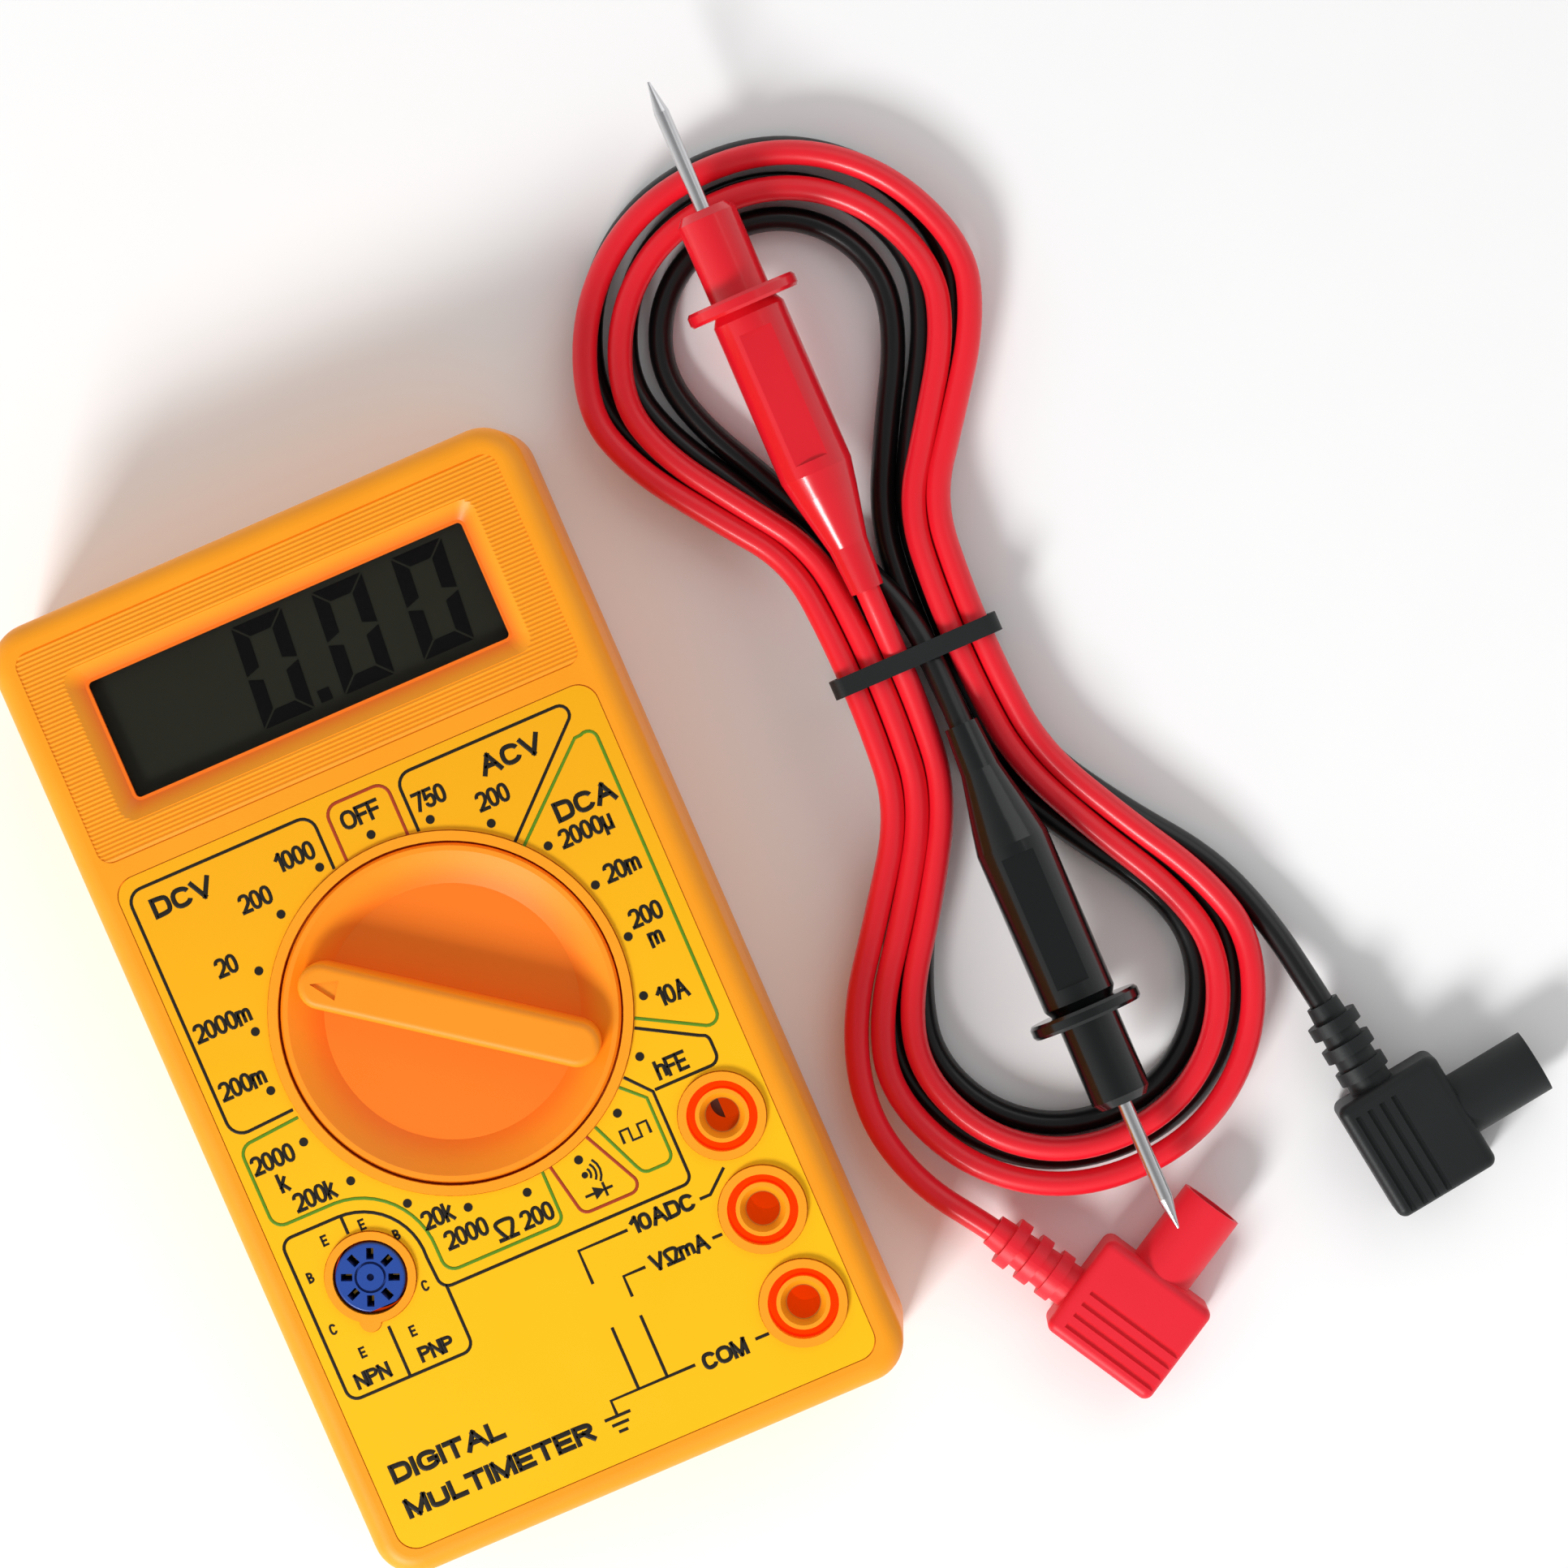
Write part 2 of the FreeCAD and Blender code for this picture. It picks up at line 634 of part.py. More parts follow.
# ---------------------------------------------------------------- circuit board and parts on it
def make_board():
    edge_x = inner_x - board_edge_gap
    board = block(-edge_x, board_low, board_under, edge_x, inner_y - 2.0, board_top)
    leg = block(leg_left, -inner_y + 1.6, board_under, edge_x, board_low + 1, board_top)
    board = board.fuse(leg)
    cuts = []
    for place in case_screws:
        side = math.copysign(1, place.x)
        cuts.append(rod(place, case_boss_radius + moving_gap, 0, face))
        cuts.append(block(min(place.x, side * half_width), place.y - case_boss_radius - moving_gap, 0,
                          max(place.x, side * half_width), place.y + case_boss_radius + moving_gap,
                          face))
    for place in board_screws:
        cuts.append(rod(place, board_screw_radius + fit_gap, 0, face))
    for y in jack_ys:
        cuts.append(rod(V(jack_x, y, 0), brass_radius + press_gap, 0, face))
    for k in range(socket_slots):
        pin = around(socket_place, socket_slot_circle, slot_angle(k))
        cuts.append(rod(pin, 0.55, 0, face))
    return board.cut(cuts).removeSplitter()


def make_brass_socket(y):
    place = V(jack_x, y, 0)
    barrel = rod(place, brass_radius, board_under - 3.0, face - jack_lip - fit_gap)
    flange = rod(place, brass_radius + 1.1, board_top, board_top + 0.8)
    return barrel.fuse(flange).cut(rod(place, jack_bore, 0, face + 1)).removeSplitter()


def make_transistor_socket():
    body = rod(socket_place, socket_radius, board_top, face + 0.3)
    rim = edges_at(body, face + 0.3)
    body = body.makeFillet(0.3, rim)
    cuts = [centred_block(socket_place + V(0, -socket_radius - 0.1, 0), 6.0, 1.0, 0, face + 2)]
    groove = tube(socket_place, 1.95, 1.65, face - 0.3, face + 1)
    cuts.append(groove)
    cuts.append(rod(socket_place, 0.45, face - 0.8, face + 1))
    slot = centred_block(socket_place + V(socket_slot_circle, 0, 0), 1.4, 0.9, face - 6, face + 2)
    channel = centred_block(socket_place + V(socket_slot_circle, 0, 0), 0.9, 0.5, 0, face)
    for k in range(socket_slots):
        cuts.append(turned(slot, socket_place, slot_angle(k)))
        cuts.append(turned(channel, socket_place, slot_angle(k)))
    return body.cut(cuts)


def make_socket_contacts():
    strip = centred_block(socket_place + V(socket_slot_circle, 0, 0), 0.8, 0.3,
                          board_under - 1.2, face - 2.5)
    return Part.makeCompound([turned(strip, socket_place, slot_angle(k))
                              for k in range(socket_slots)])


def axial_part(x, y, radius, length, drop):
    """A lead-mounted part lying along X under the board, with both legs bent up into it."""
    level = board_under - drop
    body = Part.makeCylinder(radius, length, V(x - length / 2, y, level), V(1, 0, 0))
    body = body.makeFillet(radius * 0.4, [e for e in body.Edges if len(e.Vertexes) == 1])
    reach = length / 2 + 1.6
    wire = Part.makeCylinder(0.28, 2 * reach, V(x - reach, y, level), V(1, 0, 0))
    legs = [rod(V(x + s * (reach - 0.28), y, 0), 0.28, level, board_under) for s in (-1, 1)]
    return body.fuse([wire] + legs).removeSplitter()


resistor_columns = [-18.0, -6.5, 5.0]
resistor_rows = 5
resistor_pitch = 3.8


def make_resistors():
    top_row = dial_y - 5.0
    return Part.makeCompound([axial_part(x, top_row - i * resistor_pitch, 1.1, 5.8, 2.0)
                              for x in resistor_columns for i in range(resistor_rows)])


def make_diode():
    return axial_part(15.0, dial_y - 5.0, 0.95, 3.8, 1.8)


def make_transistor():
    place = V(15.0, dial_y - 13.0, 0)
    can = rod(place, 2.3, board_under - 6.5, board_under - 2.0)
    can = can.cut(block(place.x - 4, place.y + 1.2, 0, place.x + 4, place.y + 4, face))
    legs = [rod(place + V(s * 1.27, 0, 0), 0.25, board_under - 2.5, board_under) for s in (-1, 0, 1)]
    return can.fuse(legs)


def make_film_capacitors():
    made = []
    for i in range(4):
        place = V(-19.0, dial_y + 3.0 + i * 4.6, 0)
        box = centred_block(place, 7.0, 2.8, board_under - 7.4, board_under - 0.4)
        box = box.makeFillet(0.4, box.Edges)
        legs = [rod(place + V(s * 2.5, 0, 0), 0.28, board_under - 0.6, board_under) for s in (-1, 1)]
        made.append(box.fuse(legs))
    return Part.makeCompound(made)


def make_electrolytic():
    centre = V(7.0, dial_y + 24.0, board_under - 3.0)
    can = Part.makeCylinder(2.5, 7.0, centre, V(1, 0, 0))
    can = can.makeFillet(0.4, [e for e in can.Edges if len(e.Vertexes) == 1])
    legs = [rod(centre + V(-1.0, s * 1.0, 0), 0.28, board_under - 3.0, board_under)
            for s in (-1, 1)]
    arms = [Part.makeCylinder(0.28, 1.6, centre + V(-1.28, s * 1.0, 0), V(1, 0, 0))
            for s in (-1, 1)]
    return can.fuse(legs + arms)


def make_ceramic_capacitors():
    made = []
    for x in (-9.0, -3.5):
        centre = V(x, dial_y + 24.0, board_under - 3.6)
        disc = Part.makeCylinder(2.4, 1.4, centre - V(0, 0.7, 0), V(0, 1, 0))
        disc = disc.makeFillet(0.4, [e for e in disc.Edges if len(e.Vertexes) == 1])
        legs = [rod(V(x + s * 1.25, centre.y, 0), 0.25, centre.z, board_under) for s in (-1, 1)]
        made.append(disc.fuse(legs))
    return Part.makeCompound(made)


def make_chip():
    place = V(1.0, dial_y + 9.5, 0)
    blob = rod(place, 6.6, board_under - 1.7, board_under)
    return blob.makeFillet(1.4, edges_at(blob, board_under - 1.7))


trimmer_place = V(17.5, dial_y + 11.0, 0)
trimmer_radius = 2.1


def make_trimmer_body():
    body = centred_block(trimmer_place, 6.6, 6.6, board_under - 4.2, board_under - 0.4)
    body = body.makeFillet(0.6, upright_edges(body))
    body = body.cut(rod(trimmer_place, trimmer_radius + running_gap, 0, board_under - 2.0))
    legs = [rod(trimmer_place + V(x, y, 0), 0.3, board_under - 0.6, board_under)
            for x, y in ((-2.5, -2.5), (2.5, -2.5), (0, 2.5))]
    return body.fuse(legs)


def make_trimmer_rotor():
    bottom = board_under - 4.5
    rotor = rod(trimmer_place, trimmer_radius, bottom, board_under - 2.0 - moving_gap)
    return rotor.cut(centred_block(trimmer_place, 3.2, 0.6, bottom - 1, bottom + 0.8))


fuse_x = half_width - 11.0
fuse_y = dial_y - 17.0
fuse_level = board_under - fuse_radius - 0.9


def make_fuse_tube():
    inner = fuse_length - 2 * 5.0
    outer = Part.makeCylinder(fuse_radius - 0.2, fuse_length - 1.0,
                              V(fuse_x, fuse_y + 0.5, fuse_level), V(0, 1, 0))
    bore = Part.makeCylinder(fuse_radius - 0.7, inner + 8.0,
                             V(fuse_x, fuse_y + 1.0, fuse_level), V(0, 1, 0))
    return outer.cut(bore)


def make_fuse_caps():
    made = []
    for y, closed in ((fuse_y, fuse_y), (fuse_y + fuse_length - 5.0, fuse_y + fuse_length - 0.4)):
        cap = Part.makeCylinder(fuse_radius, 5.0, V(fuse_x, y, fuse_level), V(0, 1, 0))
        start = y + 0.4 if y == fuse_y else y - 1
        bore = Part.makeCylinder(fuse_radius - 0.2 + 0.02, 5.6,
                                 V(fuse_x, start, fuse_level), V(0, 1, 0))
        made.append(cap.cut(bore))
    return Part.makeCompound(made)


def make_fuse_clips():
    made = []
    for y in (fuse_y + 0.6, fuse_y + fuse_length - 4.4):
        ring = Part.makeCylinder(fuse_radius + 0.45, 3.8, V(fuse_x, y, fuse_level), V(0, 1, 0))
        ring = ring.cut(Part.makeCylinder(fuse_radius + 0.02, 6,
                                          V(fuse_x, y - 1, fuse_level), V(0, 1, 0)))
        mouth = block(fuse_x - 1.8, y - 1, fuse_level - 5, fuse_x + 1.8, y + 6, fuse_level - 0.5)
        foot = block(fuse_x - 2.0, y + 0.4, fuse_level + fuse_radius + 0.1,
                     fuse_x + 2.0, y + 3.4, board_under)
        made.append(ring.cut(mouth).fuse(foot).removeSplitter())
    return Part.makeCompound(made)


def make_shunt():
    x = jack_x + 4.7
    top = jack_ys[2] - 2.0
    low = jack_ys[0] + 2.0
    level = board_under - 3.4
    middle = (top + low) / 2
    return wire_along([V(x, top, board_under), V(x, top, level), V(x, middle + 4, level - 0.6),
                       V(x, middle - 4, level - 0.6), V(x, low, level),
                       V(x, low, board_under)], 0.75)


def make_buzzer():
    place = V(-17.0, display_y - 2.0, 0)
    can = rod(place, 6.0, board_under - 5.4, board_under)
    can = can.makeFillet(0.6, edges_at(can, board_under - 5.4))
    return can.cut(rod(place, 1.0, 0, board_under - 4.4))


def make_shield():
    return centred_block(V(0, (board_low + display_y) / 2, 0), 2 * (inner_x - 9.0),
                         display_y - board_low - 2.0, floor_top, floor_top + 0.15)


def make_ground_spring():
    length = board_under - floor_top - 0.15 - 0.7
    return coil_spring(V(-20.5, dial_y + 27.5, floor_top + 0.5), V(0, 0, 1), length, 1.7, 0.22, 5)


# ---------------------------------------------------------------- battery
def make_battery():
    body = block(battery_x0, battery_y0, battery_z0,
                 battery_x1, battery_y1, battery_z0 + battery_thickness)
    long_edges = [e for e in body.Edges if abs(e.BoundBox.XLength - battery_length) < 1e-3]
    body = body.makeFillet(2.0, long_edges)
    return body


def terminal_places():
    return [V(battery_x1, battery_middle_y + s * terminal_spacing / 2, battery_level)
            for s in (-1, 1)]


def make_terminals():
    small, large = terminal_places()
    stud = Part.makeCylinder(2.8, terminal_length, small, V(1, 0, 0))
    cup = Part.makeCylinder(4.2, terminal_length, large, V(1, 0, 0))
    cup = cup.cut(Part.makeCylinder(3.2, terminal_length, large + V(0.4, 0, 0), V(1, 0, 0)))
    return Part.makeCompound([stud, cup])


def make_snap():
    """The flat moulded cap that clips on the battery's two terminals."""
    x0 = battery_x1 + terminal_length + fit_gap
    pad = block(x0, battery_middle_y - snap_half_length, battery_level - 6.0,
                x0 + snap_thickness, battery_middle_y + snap_half_length, battery_level + 6.0)
    upright = [e for e in pad.Edges if abs(e.BoundBox.XLength - snap_thickness) < 1e-3]
    return pad.makeFillet(3.0, upright)


lead_x = battery_x1 + terminal_length + fit_gap + snap_thickness / 2


def make_battery_lead(side):
    start = V(lead_x, battery_middle_y + snap_half_length + fit_gap,
              battery_level - 1.4 - 1.8 * side)
    pad = V(lead_x - 5.4 - 2.6 * side, board_low + 4.2, board_under - 0.3)
    return wire_along([start, start + V(0, 2.6, 0), start + V(-1.5 - side, 6.0, -2.2),
                       pad + V(0.2, -0.2, -2.6), pad], 0.6)


# ---------------------------------------------------------------- test leads
hank_x = half_width + lead_gap + hank_half_width
waist = 2.5 * wire_pitch + 0.6
plug_level = plug_block[2] / 2
probe_tail_level = 2 * layer_height + wire_radius + press_gap


def hank_point(along, across, level=0.0):
    """A place in the hank: along runs from the tie to the plugs, across away from the meter."""
    return V(hank_x + across, hank_middle_y - along, level)


def lobe_poles(tip, half_width, slot_out, slot_back, side=1):
    """Control points of one loop, out from the tie along one side and back along the other."""
    middle = tip - half_width
    poles = []
    for slot, sense in ((slot_out, 1), (slot_back, -1)):
        leg = [(6.0, slot), (17.0, slot + 1.0),
               (middle * 0.62, slot + (half_width - slot) * 0.45),
               (middle * 0.86, half_width * 0.92)]
        arc = [(middle + half_width * 1.04 * math.sin(math.radians(a)),
                half_width * 1.04 * math.cos(math.radians(a))) for a in (8, 40, 72)]
        leg = leg + arc if sense > 0 else (leg + arc)[::-1]
        poles += [(side * along, sense * across) for along, across in leg]
    return poles


def plate_from_poles(poles, z0, z1):
    curve = Part.BSplineCurve()
    curve.buildFromPoles([hank_point(a, c, z0) for a, c in poles], True, 2)
    return Part.Face(Part.Wire(curve.toShape())).extrude(V(0, 0, z1 - z0))


def hank_plate(lobes, z0, tongue):
    """The outer shape of one lead's strands, open inside both loops."""
    grow = wire_radius + 0.2
    edge = waist + grow
    right = lobe_poles(lobes["right"][0] + grow, lobes["right"][1] + grow, edge, edge)
    left = lobe_poles(lobes["left"][0] + grow, lobes["left"][1] + grow, edge, edge, -1)
    solid = plate_from_poles(right + left[::-1], z0, z0 + layer_height)
    holes = []
    for name, side in (("right", 1), ("left", -1)):
        tip, half_width, turns = lobes[name]
        inner = (turns - 1) * lobe_step + grow
        hole = [(side * a, c) for a, c in lobe_poles(tip - inner, half_width - inner, 0.5, 0.5)
                if a > 16.5]
        holes.append(plate_from_poles(hole, z0 - 1, z0 + layer_height + 1))
    level = z0 + layer_height / 2
    run = wire_along([hank_point(along, across, level) for along, across in tongue], wire_radius)
    return solid.cut(holes).fuse(run)


black_plug_place = (60.0, 29.4)
red_plug_place = (70.0, -19.6)
black_tongue = [(17.0, 9.4), (28.0, 16.2), (38.0, 23.8), (48.0, 27.4), black_plug_place]
red_tongue = [(17.0, -9.6), (28.0, -17.4), (38.5, -25.2), (50.0, -28.6), (61.0, -26.0),
              red_plug_place]
black_plug_turn = 8.0
red_plug_turn = 30.0


def place_in_hank(shape, along, across, turn, level):
    """Moves a piece drawn with its wire along +X so that the wire runs along the hank."""
    shape.rotate(V(0, 0, 0), V(0, 0, 1), turn - 90.0)
    shape.translate(hank_point(along, across, level))
    return shape


def make_plug_boot():
    """Right-angle plug body drawn with the wire entering at the origin along +X."""
    length, width, thickness = plug_block
    block_start = plug_relief
    body = block(block_start, -width * 0.4, -thickness / 2,
                 block_start + length, width * 0.6, thickness / 2)
    body = body.makeFillet(1.2, body.Edges)
    sleeve = Part.makeCone(wire_radius + 0.55, 2.9, plug_relief + 1.0, V(0, 0, 0), V(1, 0, 0))
    sleeve = sleeve.cut(Part.makeCylinder(wire_radius + press_gap, 6.0, V(-1, 0, 0), V(1, 0, 0)))
    wire_bore = Part.makeCylinder(wire_radius + press_gap, 6.0, V(-1, 0, 0), V(1, 0, 0))
    ribs = [Part.makeCylinder(3.3, 1.7, V(2.2 + i * 3.3, 0, 0), V(1, 0, 0)) for i in range(3)]
    ribs = [rib.cut(wire_bore) for rib in ribs]
    shroud_x = block_start + length / 2
    shroud = Part.makeCylinder(plug_shroud_outer, plug_reach, V(shroud_x, 0, 0), V(0, 1, 0))
    body = body.fuse([sleeve, shroud] + ribs)
    mouth = V(shroud_x, width * 0.6 - 2.0, 0)
    cuts = [Part.makeCylinder(plug_shroud_inner, plug_reach, mouth, V(0, 1, 0))]
    cuts.append(Part.makeCylinder(plug_pin_radius + fit_gap, plug_reach + 5,
                                  V(shroud_x, 1.0, 0), V(0, 1, 0)))
    for i in range(4):
        y = -width * 0.4 + 1.6 + i * 1.7
        for z in (-thickness / 2, thickness / 2):
            cuts.append(block(block_start + 2.0, y, z - 0.35,
                              block_start + length + 1, y + 0.7, z + 0.35))
    return body.cut(cuts).removeSplitter()


def make_plug_pin():
    shroud_x = plug_relief + plug_block[0] / 2
    pin = Part.makeCylinder(plug_pin_radius, plug_reach - 3.0, V(shroud_x, 1.2, 0), V(0, 1, 0))
    pin = pin.makeFillet(0.6, [e for e in pin.Edges if len(e.Vertexes) == 1
                               and e.BoundBox.YMin > plug_reach - 3.0])
    slot = block(shroud_x - 3, 7.0, -0.2, shroud_x + 3, plug_reach + 3, 0.2)
    return pin.cut(slot)


def make_probe():
    """Probe body drawn along +X from its tail; its own axis stays at the origin's level."""
    guard = probe_guard_from_tail
    section = [(0.0, 0.0), (wire_radius + 0.6, 0.0), (wire_radius + 1.0, 6.0),
               (probe_radius - 0.6, 13.0),
               (probe_radius, 16.0), (probe_radius, guard - 1.0), (probe_radius - 0.6, guard),
               (probe_guard_radius - 0.3, guard), (probe_guard_radius, guard + 0.4),
               (probe_guard_radius, guard + 1.4), (probe_guard_radius - 0.3, guard + 1.8),
               (probe_barrel_radius, guard + 1.8), (probe_barrel_radius, probe_length - 1.0),
               (probe_barrel_radius - 0.8, probe_length), (0.0, probe_length)]
    body = lathe(section, V(0, 0, 0))
    for side in (-1, 1):
        middle = V(side * (probe_radius + 0.5), 0, 0)
        body = body.cut(centred_block(middle, 2.0, 4.8, 17.5, guard - 3.0))
    body = body.cut(rod(V(0, 0, 0), probe_needle_radius + press_gap,
                        probe_length - needle_seat - 0.5, probe_length + 1))
    body = body.cut(rod(V(0, 0, 0), wire_radius + press_gap, -1.0, 4.0))
    return body.removeSplitter()


def make_needle():
    start = probe_length - needle_seat
    end = probe_length + probe_needle_length
    shaft = rod(V(0, 0, 0), probe_needle_radius, start, end - 4.0)
    point = Part.makeCone(probe_needle_radius, 0.15, 4.0, V(0, 0, end - 4.0))
    return shaft.fuse(point)


def lay_probe(shape, side, across):
    """Tips a probe over and lays it along the hank, on top of the strands."""
    shape.rotate(V(0, 0, 0), V(0, 1, 0), 90.0 - math.degrees(math.atan(probe_slope)))
    shape.rotate(V(0, 0, 0), V(0, 0, 1), -90.0 if side > 0 else 90.0)
    shape.translate(hank_point(side * probe_tail, across, probe_tail_level))
    return shape


def make_tie():
    outer = hank_x + waist + wire_radius + 0.3
    inner_half = waist + wire_radius + 0.3
    top = 2 * layer_height + tie_thickness + 0.1
    ring = block(hank_x - inner_half - tie_thickness, hank_middle_y - tie_width / 2, 0,
                 outer + tie_thickness, hank_middle_y + tie_width / 2, top + tie_thickness)
    across = [e for e in ring.Edges if abs(e.BoundBox.YLength - tie_width) < 1e-3]
    ring = ring.makeFillet(1.6, across)
    hole = block(hank_x - inner_half, hank_middle_y - tie_width, tie_thickness,
                 outer, hank_middle_y + tie_width, top)
    across = [e for e in hole.Edges if abs(e.BoundBox.YLength - 2 * tie_width) < 1e-3]
    hole = hole.makeFillet(1.0, across)
    return ring.cut(hole)


# ---------------------------------------------------------------- build
save("front_case", make_front_case())
save("rear_case", make_rear_case())
panel_under = face - panel_recess
save("function_panel", panel_shape(panel_under, panel_under + panel_thickness, 0.0))
save("case_screws", make_screws(case_screws, case_screw_head, 2.6, 4.2, case_screw_radius, face - 7.0))
save("board_screws", make_screws(board_screws, board_screw_head, board_under - 1.2, board_under,
                                 board_screw_radius, face - 4.5))
save("lcd_window", make_window())
save("lcd_panel", make_display_glass())
save("lcd_holder", make_holder())
save("zebra_strip", zebra_block(0.0))
save("dial_knob", make_dial())
save("wiper_contacts", make_wipers())
for letter, angle in ball_angles.items():
    save("detent_ball_" + letter, make_ball(angle))
    save("detent_spring_" + letter, make_detent_spring(angle))
save("circuit_board", make_board())
for name, y in zip(("com", "volt", "amp"), jack_ys):
    save("input_socket_" + name, make_brass_socket(y))
save("transistor_socket", make_transistor_socket())
save("socket_contacts", make_socket_contacts())
save("resistors", make_resistors())
save("diode", make_diode())
save("transistor", make_transistor())
save("film_capacitors", make_film_capacitors())
save("electrolytic_capacitor", make_electrolytic())
save("ceramic_capacitors", make_ceramic_capacitors())
save("chip_blob", make_chip())
save("trimmer_body", make_trimmer_body())
save("trimmer_rotor", make_trimmer_rotor())
save("fuse_tube", make_fuse_tube())
save("fuse_caps", make_fuse_caps())
save("fuse_clips", make_fuse_clips())
save("shunt_wire", make_shunt())
save("buzzer", make_buzzer())
save("shield_paper", make_shield())
save("ground_spring", make_ground_spring())
save("battery", make_battery())
save("battery_terminals", make_terminals())
save("battery_snap", make_snap())
save("battery_lead_red", make_battery_lead(0))
save("battery_lead_black", make_battery_lead(1))
save("lead_black", hank_plate(black_lobes, 0.0, black_tongue))
save("lead_red", hank_plate(red_lobes, layer_height, red_tongue))
for colour, spot, turn in (("black", black_plug_place, black_plug_turn),
                           ("red", red_plug_place, red_plug_turn)):
    save("plug_boot_" + colour, place_in_hank(make_plug_boot(), *spot, turn, plug_level))
    save("plug_pin_" + colour, place_in_hank(make_plug_pin(), *spot, turn, plug_level))
for colour, (side, across) in probes.items():
    save("probe_handle_" + colour, lay_probe(make_probe(), side, across))
    save("probe_needle_" + colour, lay_probe(make_needle(), side, across))
save("lead_tie", make_tie())
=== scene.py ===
# %% [markdown]
# # A pocket digital multimeter and its test leads
# The shells, the dial, the sockets and everything inside come from the imported CAD model, and
# they keep their shapes.  This lesson adds what a machine drawing leaves out: the printed scale,
# the figures on the display, the two long flexible leads, the finishes and the studio.
# We start by loading the model.

# %% Load the imported model
import bpy, bmesh, json, math
from mathutils import Matrix, Vector


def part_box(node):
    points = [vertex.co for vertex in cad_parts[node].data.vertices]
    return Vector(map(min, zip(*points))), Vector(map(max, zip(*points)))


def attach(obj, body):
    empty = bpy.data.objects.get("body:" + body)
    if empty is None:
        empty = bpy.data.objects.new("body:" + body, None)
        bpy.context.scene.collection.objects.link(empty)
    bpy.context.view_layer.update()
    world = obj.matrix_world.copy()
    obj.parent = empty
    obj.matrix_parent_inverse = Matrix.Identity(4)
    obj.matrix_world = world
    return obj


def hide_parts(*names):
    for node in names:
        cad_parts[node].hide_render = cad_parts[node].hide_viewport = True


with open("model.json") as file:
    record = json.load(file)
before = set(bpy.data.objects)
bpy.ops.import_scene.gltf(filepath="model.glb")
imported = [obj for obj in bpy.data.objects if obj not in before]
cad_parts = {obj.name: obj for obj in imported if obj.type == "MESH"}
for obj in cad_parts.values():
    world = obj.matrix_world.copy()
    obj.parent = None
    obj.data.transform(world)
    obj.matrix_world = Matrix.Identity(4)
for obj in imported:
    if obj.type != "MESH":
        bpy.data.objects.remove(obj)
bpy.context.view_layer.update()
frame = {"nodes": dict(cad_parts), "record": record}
MM = 0.001

# %% [markdown]
# ## Landmarks
# A printer's drawing of the face is dimensioned from the left-hand side and from the display
# end, so we make a small function that turns such a pair of millimetres into a place on the
# model.  The heights come from the boxes of the parts themselves.

# %% Landmarks on the face
COLLAR_HEIGHT = 0.6 * MM        # the dial's collar is the highest part of the front case
case_low, case_high = (Vector(c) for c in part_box("rear_case"))
face_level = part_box("front_case")[1][2] - COLLAR_HEIGHT
film_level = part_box("function_panel")[1][2]
display_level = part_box("lcd_panel")[1][2]
dial_centre = Vector(frame["record"]["behaviour"]["joints"][0]["pos_m"])


def spot(from_left, from_end, level):
    """A place given in millimetres from the left side and the display end of the case."""
    return Vector((case_low.x + from_left * MM, case_high.y - from_end * MM, level))


print("film at", round(film_level * 1000, 2), "mm, face at", round(face_level * 1000, 2), "mm")

# %% [markdown]
# ## The camera
# The meter is seen from straight above, turned on the table, and through a long lens, so its
# sides hardly converge.  We place the camera by the point it looks at, the direction it looks
# from and its turn about that line, and choose the lens so that the view is about twice as
# wide as the meter is long.

# %% Camera
camera_data = bpy.data.cameras.new("camera")
camera = bpy.data.objects.new("camera", camera_data)
bpy.context.scene.collection.objects.link(camera)
aim = Vector((47.9, 8.1, 14.0)) * MM
stand = Vector((71.0, 27.5, 611.4)) * MM
turn = math.radians(23.41)
back = (stand - aim).normalized()
top = Vector((math.sin(turn), math.cos(turn), 0.0))
right = top.cross(back).normalized()
top = back.cross(right)
camera.matrix_world = Matrix.Translation(stand) @ Matrix((right, top, back)).transposed().to_4x4()
camera_data.sensor_width = 36.0
camera_data.lens = 111.5
camera_data.clip_start = 0.01
bpy.context.scene.camera = camera
print("camera", round((stand - aim).length, 3), "m from what it looks at")

# %% [markdown]
# ## The two leads
# A test lead is soft wire, 3.1 mm thick and about three quarters of a metre long.  It is sold
# folded into loops with a twist tie round the middle.  A NURBS curve is right for it, because
# such a curve bends evenly, as wire does.  Each loop is the same shape at another size, so a
# function gives the control points of one loop and the leads are strings of loops.  The black
# strands lie on the table and the red ones lie on them.

# %% One loop of wire
WIRE = 1.55 * MM
hank_low, hank_high = (Vector(c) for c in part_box("lead_tie"))
hank_centre = (hank_low + hank_high) / 2
BLACK_LEVEL, RED_LEVEL = 1.65, 4.95     # middles of the two layers above the table, in mm
TIE_LIFT = 0.8                  # the tie goes under the strands and lifts them
TIE_EDGE, PARTING = 6.0, 17.0   # the strands run straight between these distances
SWELL = 1.04                    # a NURBS curve runs inside its control points


def in_hank(along, across, level):
    """From the tie: along towards the plugs, across away from the meter, in millimetres."""
    return Vector((hank_centre.x + across * MM, hank_centre.y - along * MM, level * MM))


